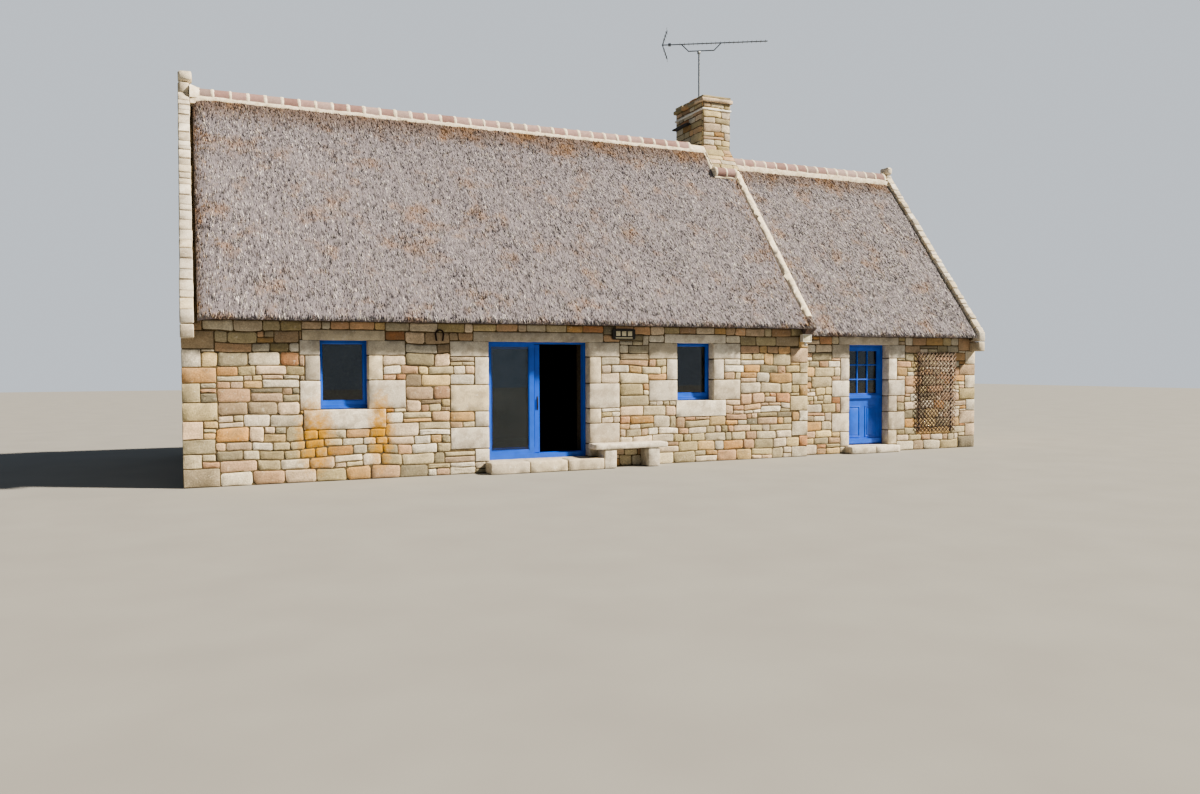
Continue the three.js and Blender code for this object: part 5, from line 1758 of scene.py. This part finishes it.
class COTTAGE_OT_hinged_door(bpy.types.Operator):
    """Paint the hinged door, and add its glazing bars, panels, knob and rose"""

    bl_idname = "cottage.hinged_door"
    bl_label = "Hinged door"

    def execute(self, context):
        paint_nodes(("door_frame", "door_leaf"), "paint")
        paint_nodes(("door_glass",), "glass")
        low, high = span("door_glass")
        leaf_low, leaf_high = span("door_leaf")
        front = low[1] - 0.021
        self.bars(low, high)
        self.panels(leaf_low, leaf_high, front)
        knob = Shells()
        turned(knob, KNOB, (leaf_low[0] + 0.045, front, 1.0), 1, 24)
        knob.piece("door_knob", "iron", "rusty_iron", body="hinged_leaf", smooth=40)
        return {"FINISHED"}

    def bars(self, low, high):
        """Two bars each way make three columns and three rows of panes, inside and out."""
        shells = Shells()
        for y0, y1 in ((low[1] - 0.019, low[1] - 0.0005), (high[1] + 0.0005, high[1] + 0.015)):
            glazing_beads(shells, low, high, y0, y1)
            for share in (1 / 3, 2 / 3):
                x = low[0] + (high[0] - low[0]) * share
                z = low[2] + (high[2] - low[2]) * share
                planed(shells, (x - 0.013, y0 - 0.001, low[2]), (x + 0.013, y1, high[2]))
                planed(shells, (low[0], y0, z - 0.013), (high[0], y1, z + 0.013))
        shells.piece("door_glazing_bars", "paint", "blue_paint", body="hinged_leaf", smooth=30)

    def panels(self, low, high, front):
        """Two tall fielded panels under the glass, each in a raised moulding."""
        bottom, top, edge, middle, margin = 0.3, 0.94, 0.095, 0.065, 0.045
        centre = (low[0] + high[0]) / 2
        shells = Shells()
        for x0, x1 in ((low[0] + edge, centre - middle), (centre + middle, high[0] - edge)):
            bead_ring(shells, x0, x1, bottom, top, front - 0.009, front + 0.002, 0.022)
            start = (x0 + margin, front - 0.006, bottom + margin)
            end = (x1 - margin, front + 0.002, top - margin)
            planed(shells, start, end, 0.006)
        shells.piece("door_panels", "paint", "blue_paint", body="hinged_leaf", smooth=30)


# Things on the walls and the chimney

NAIL_ANGLES, NAIL_RADIUS = (-18, 8, 34, 146, 172, 198), 0.0675
SLAT_THICKNESS = 0.005


class COTTAGE_OT_fittings(bpy.types.Operator):
    """Finish the horseshoe, the wall lamp and the floodlight"""

    bl_idname = "cottage.fittings"
    bl_label = "Horseshoe and lamps"

    def execute(self, context):
        paint_nodes(("horseshoe",), "iron")
        paint_nodes(("wall_lamp",), "dark_plastic")
        paint_nodes(("floodlight",), "white_plastic")
        self.nails()
        self.lamp()
        self.floodlight()
        return {"FINISHED"}

    def nails(self):
        low, high = span("horseshoe")
        x, z, front = (low[0] + high[0]) / 2, high[2] - 0.08, low[1]
        shells = Shells()
        for angle in NAIL_ANGLES:
            cx = x + NAIL_RADIUS * math.cos(math.radians(angle))
            cz = z + NAIL_RADIUS * math.sin(math.radians(angle))
            start, end = (cx - 0.005, front - 0.003, cz - 0.005), (cx + 0.005, front + 0.001, cz + 0.005)
            planed(shells, start, end, 0.0015)
        shells.piece("horseshoe_nails", "iron", "rusty_iron", smooth=30)

    def lamp(self):
        """Three diffusers in a row, and a strip under them."""
        low, high = span("wall_lamp")
        middle, front, foot = (low[0] + high[0]) / 2, low[1], low[2]
        shells = Shells()
        for offset in (-0.115, 0.0, 0.115):
            x = middle + offset
            start, end = (x - 0.042, front - 0.005, foot + 0.065), (x + 0.042, front + 0.001, foot + 0.15)
            planed(shells, start, end, 0.004)
        start = (middle - 0.165, front - 0.006, foot + 0.02)
        end = (middle + 0.165, front + 0.001, foot + 0.042)
        planed(shells, start, end, 0.003)
        shells.piece("lamp_diffusers", "opal", "white_plastic", smooth=30)

    def floodlight(self):
        """A rim round the lens, and the sensor that hangs under it."""
        low, high = span("floodlight")
        front, rim, inset = low[1], 0.004, 0.016
        shells = Shells()
        outer = (low[0] - rim, high[0] + rim, low[2] - rim, high[2] + rim)
        bead_ring(shells, *outer, front - 0.01, front + 0.012, 0.016)
        turned(shells, SENSOR, ((low[0] + high[0]) / 2, front + 0.045, low[2]), 2, 20)
        shells.piece("floodlight_rim_and_sensor", "white_plastic", "white_plastic", smooth=35)
        lens = Shells()
        start = (low[0] + inset, front - 0.004, low[2] + inset)
        end = (high[0] - inset, front + 0.001, high[2] - inset)
        planed(lens, start, end, 0.002)
        lens.piece("floodlight_lens", "opal", "window_glass", smooth=30)


class COTTAGE_OT_trellis(bpy.types.Operator):
    """Nail up the diamond trellis: two layers of crossing slats, cut to the panel"""

    bl_idname = "cottage.trellis"
    bl_label = "Trellis"

    def execute(self, context):
        sizes = context.scene.cottage_joinery
        low, high = span("wall_trellis")
        width, height = high[0] - low[0], high[2] - low[2]
        rng = np.random.default_rng(950)
        shells = Shells()
        for direction, depth in ((1, 0.0), (-1, SLAT_THICKNESS + 0.001)):
            start = -height if direction > 0 else 0.0
            y0 = low[1] + depth - 0.002
            for offset in np.arange(start + 0.03, start + width + height, sizes.slat_spacing):
                slat = self.across(offset, direction, width, height)
                if slat is not None:
                    self.slat(shells, low, *slat, y0, sizes.slat_width / 2, rng)
        back = low[1] + 2 * SLAT_THICKNESS
        for x in (low[0] + 0.13, high[0] - 0.13):
            planed(shells, (x - 0.007, back, low[2] + 0.016), (x + 0.007, high[1], high[2] - 0.016))
        shells.piece("trellis_slats", "softwood", "trellis_wood", replaces=("wall_trellis",))
        return {"FINISHED"}

    def slat(self, shells, low, a, b, y0, half, rng):
        """One slat from a to b, which are places in the panel."""
        side = np.array([-(b - a)[1], (b - a)[0]]) / np.linalg.norm(b - a) * half
        y1 = y0 + SLAT_THICKNESS
        rings = []
        for end in (a, b):
            u, v = low[0] + end[0], low[2] + end[1]
            corners = ((-1, y0), (1, y0), (1, y1), (-1, y1))
            rings.append([(u + k * side[0], y, v + k * side[1]) for k, y in corners])
        loft(shells, rings, rng.random(3))

    def across(self, offset, direction, width, height):
        """The ends of the slat x = offset + direction * z in the panel, or None where it misses it."""
        foot, head = np.array([offset, 0.0]), np.array([offset + direction * height, height])
        t0, t1 = 0.0, 1.0
        for bound, sign in ((0.0, 1), (width, -1)):
            at_foot, at_head = sign * (foot[0] - bound), sign * (head[0] - bound)
            if at_foot < 0 and at_head < 0:
                return None
            if at_foot < 0:
                t0 = max(t0, at_foot / (at_foot - at_head))
            elif at_head < 0:
                t1 = min(t1, at_foot / (at_foot - at_head))
        if (t1 - t0) * height < 0.04:
            return None
        return foot + (head - foot) * (t0 + 0.006), foot + (head - foot) * (t1 - 0.006)


class COTTAGE_OT_aerial(bpy.types.Operator):
    """Finish the aerial and its mast, and add the mast's clamps"""

    bl_idname = "cottage.aerial"
    bl_label = "Aerial"

    def execute(self, context):
        paint_nodes(("aerial", "aerial_mast"), "steel")
        low, high = span("aerial_mast")
        radius = 0.018
        x, y = low[0] + radius, high[1] - radius
        shells = Shells()
        planed(shells, (x - 0.03, y - 0.03, high[2] - 0.06), (x + 0.03, y + 0.03, high[2] - 0.003))
        for z in (7.06, 7.34):
            planed(shells, (x - 0.026, y - 0.03, z - 0.006), (x + 0.026, y + 0.026, z + 0.036))
        shells.piece("mast_clamps", "steel", "galvanised_steel", smooth=30)
        return {"FINISHED"}


# Stage

YAW, PITCH, ROLL = (math.radians(angle) for angle in (23.988, 1.956, -0.172))
CAMERA_PLACE, LENS = (-7.688, -17.597, 1.786), 27.366
TOWARDS_SUN = (2.0, -1.15, 1.85)
FLOOR_REACH, FLOOR_LEVEL = 60, -0.002


class COTTAGE_OT_stage(bpy.types.Operator):
    """Set up the camera at the photograph's viewpoint, soft daylight and a plain pale floor"""

    bl_idname = "cottage.stage"
    bl_label = "Stage"

    def execute(self, context):
        self.camera()
        self.sun(context.scene.cottage_stage)
        self.sky(context.scene.cottage_stage)
        self.floor()
        return {"FINISHED"}

    def camera(self):
        """The camera was fitted to the photograph together with the house."""
        level = Vector((math.cos(YAW), -math.sin(YAW), 0))
        reach = math.cos(PITCH)
        forward = Vector((math.sin(YAW) * reach, math.cos(YAW) * reach, -math.sin(PITCH)))
        upright = level.cross(forward)
        right = math.cos(ROLL) * level + math.sin(ROLL) * upright
        up = -math.sin(ROLL) * level + math.cos(ROLL) * upright
        data = bpy.data.cameras.new("camera")
        data.lens = LENS
        data.sensor_width = 36
        data.clip_end = 200
        camera = bpy.data.objects.new("camera", data)
        turn = Matrix((right, up, -forward)).transposed().to_4x4()
        camera.matrix_world = Matrix.Translation(CAMERA_PLACE) @ turn
        bpy.context.scene.collection.objects.link(camera)
        bpy.context.scene.camera = camera

    def sun(self, style):
        data = bpy.data.lights.new("sun", "SUN")
        data.energy = style.sun
        data.angle = math.radians(style.softness)
        data.color = linear("#fff3e0")
        sun = bpy.data.objects.new("sun", data)
        sun.rotation_euler = Vector(TOWARDS_SUN).normalized().to_track_quat("Z", "Y").to_euler()
        bpy.context.scene.collection.objects.link(sun)
        bpy.context.scene.view_settings.look = "AgX - Medium High Contrast"

    def sky(self, style):
        """Even light, and a backdrop paler than it that only the camera and the glass see."""
        world = bpy.data.worlds.new("studio")
        world.use_nodes = True
        nodes = world.node_tree.nodes
        fill = nodes["Background"]
        fill.inputs["Color"].default_value = rgba("#d9e6f6")
        fill.inputs["Strength"].default_value = style.sky
        backdrop = add(world, "ShaderNodeBackground", {"Color": rgba("#dfe6ee"), "Strength": 0.8})
        camera_ray = add(world, "ShaderNodeLightPath", out="Is Camera Ray")
        glass_ray = camera_ray.node.outputs["Is Singular Ray"]
        seen = add(world, MATH, {0: camera_ray, 1: glass_ray}, operation="MAXIMUM")
        choice = add(world, "ShaderNodeMixShader", {"Fac": seen, 1: fill.outputs[0], 2: backdrop})
        world.node_tree.links.new(choice, nodes["World Output"].inputs["Surface"])
        bpy.context.scene.world = world

    def floor(self):
        sides = ((-1, -1), (1, -1), (1, 1), (-1, 1))
        corners = [(x * FLOOR_REACH, y * FLOOR_REACH, FLOOR_LEVEL) for x, y in sides]
        mesh = bpy.data.meshes.new("floor")
        mesh.from_pydata(corners, [], [(0, 1, 2, 3)])
        body = (900, 2.0, 0.5, [(0.3, "#8e8d89"), (0.7, "#93928e")])
        mesh.materials.append(mottled("matt_pale_floor", body, Roughness=0.9))
        floor = bpy.data.objects.new("floor", mesh)
        bpy.context.scene.collection.objects.link(floor)
        floor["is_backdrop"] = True


# Settings, panel and registration


def length(name, description, default, least):
    """A setting in metres."""
    return FloatProperty(name=name, description=description, default=default, min=least, unit="LENGTH")


class RubbleSettings(bpy.types.PropertyGroup):
    shortest: length("Shortest stone", "Length of the shortest stones", 0.13, 0.06)
    longest: length("Longest stone", "Length of the longest stones", 0.46, 0.1)
    joint: length("Joint", "Width of the joints between stones", 0.015, 0.0)
    proud: length("Proud", "How far the stones stand out of the mortar", 0.019, 0.002)


class ThatchSettings(bpy.types.PropertyGroup):
    reed_length: length("Reed length", "Visible length of a bunch of reeds", 0.13, 0.02)
    reed_width: length("Reed width", "Width of a bunch of reeds", 0.015, 0.002)
    reed_height: length("Butt height", "How far the butt ends stand out", 0.01, 0.001)


class RoofSettings(bpy.types.PropertyGroup):
    tile_length: length("Tile length", "Length of a ridge tile", 0.285, 0.1)
    collar: length("Collar", "Width of the mortar over each tile joint", 0.055, 0.01)


class JoinerySettings(bpy.types.PropertyGroup):
    paint: FloatVectorProperty(
        name="Paint", description="Colour of the doors and windows", subtype="COLOR", size=3,
        default=linear("#2560d2"), min=0.0, max=1.0,
    )
    # Wider than the real slats, so that the lattice shows from the photograph's distance
    slat_width: length("Slat width", "Width of a trellis slat", 0.018, 0.003)
    slat_spacing: length("Slat spacing", "Spacing of the slats, measured level", 0.1, 0.02)


class StageSettings(bpy.types.PropertyGroup):
    sun: FloatProperty(name="Key light", description="Strength of the soft sun", default=10.0, min=0.0)
    softness: FloatProperty(
        name="Softness", description="Angle across the soft sun, in degrees", default=4.0, min=0.0, max=90.0
    )
    sky: FloatProperty(name="Fill", description="Strength of the even light", default=0.24, min=0.0)


SETTINGS = {
    "cottage_rubble": RubbleSettings,
    "cottage_thatch": ThatchSettings,
    "cottage_roof": RoofSettings,
    "cottage_joinery": JoinerySettings,
    "cottage_stage": StageSettings,
}
OPERATORS = (
    COTTAGE_OT_stage,
    COTTAGE_OT_rubble,
    COTTAGE_OT_dressed,
    COTTAGE_OT_thatch,
    COTTAGE_OT_ridges,
    COTTAGE_OT_verges,
    COTTAGE_OT_copings,
    COTTAGE_OT_chimney,
    COTTAGE_OT_windows,
    COTTAGE_OT_patio_door,
    COTTAGE_OT_hinged_door,
    COTTAGE_OT_fittings,
    COTTAGE_OT_trellis,
    COTTAGE_OT_aerial,
)


class COTTAGE_PT_panel(bpy.types.Panel):
    """Lists the cottage's settings and the steps that build it"""

    bl_label = "Thatched cottage"
    bl_idname = "COTTAGE_PT_panel"
    bl_space_type = "VIEW_3D"
    bl_region_type = "UI"
    bl_category = "Cottage"

    def draw(self, context):
        for name, settings in SETTINGS.items():
            box = self.layout.box()
            for setting in settings.__annotations__:
                box.prop(getattr(context.scene, name), setting)
        for operator in OPERATORS:
            self.layout.operator(operator.bl_idname)


def register():
    for cls in (*SETTINGS.values(), *OPERATORS, COTTAGE_PT_panel):
        bpy.utils.register_class(cls)
    for name, settings in SETTINGS.items():
        setattr(bpy.types.Scene, name, PointerProperty(type=settings))


def unregister():
    for name in SETTINGS:
        delattr(bpy.types.Scene, name)
    for cls in reversed((*SETTINGS.values(), *OPERATORS, COTTAGE_PT_panel)):
        bpy.utils.unregister_class(cls)


def main():
    register()
    for operator in OPERATORS:
        group, name = operator.bl_idname.split(".")
        getattr(getattr(bpy.ops, group), name)()
    corners = [[float(v) for v in corner] for box in (cad_box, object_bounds()) for corner in box]


if __name__ == "__main__":
    main()
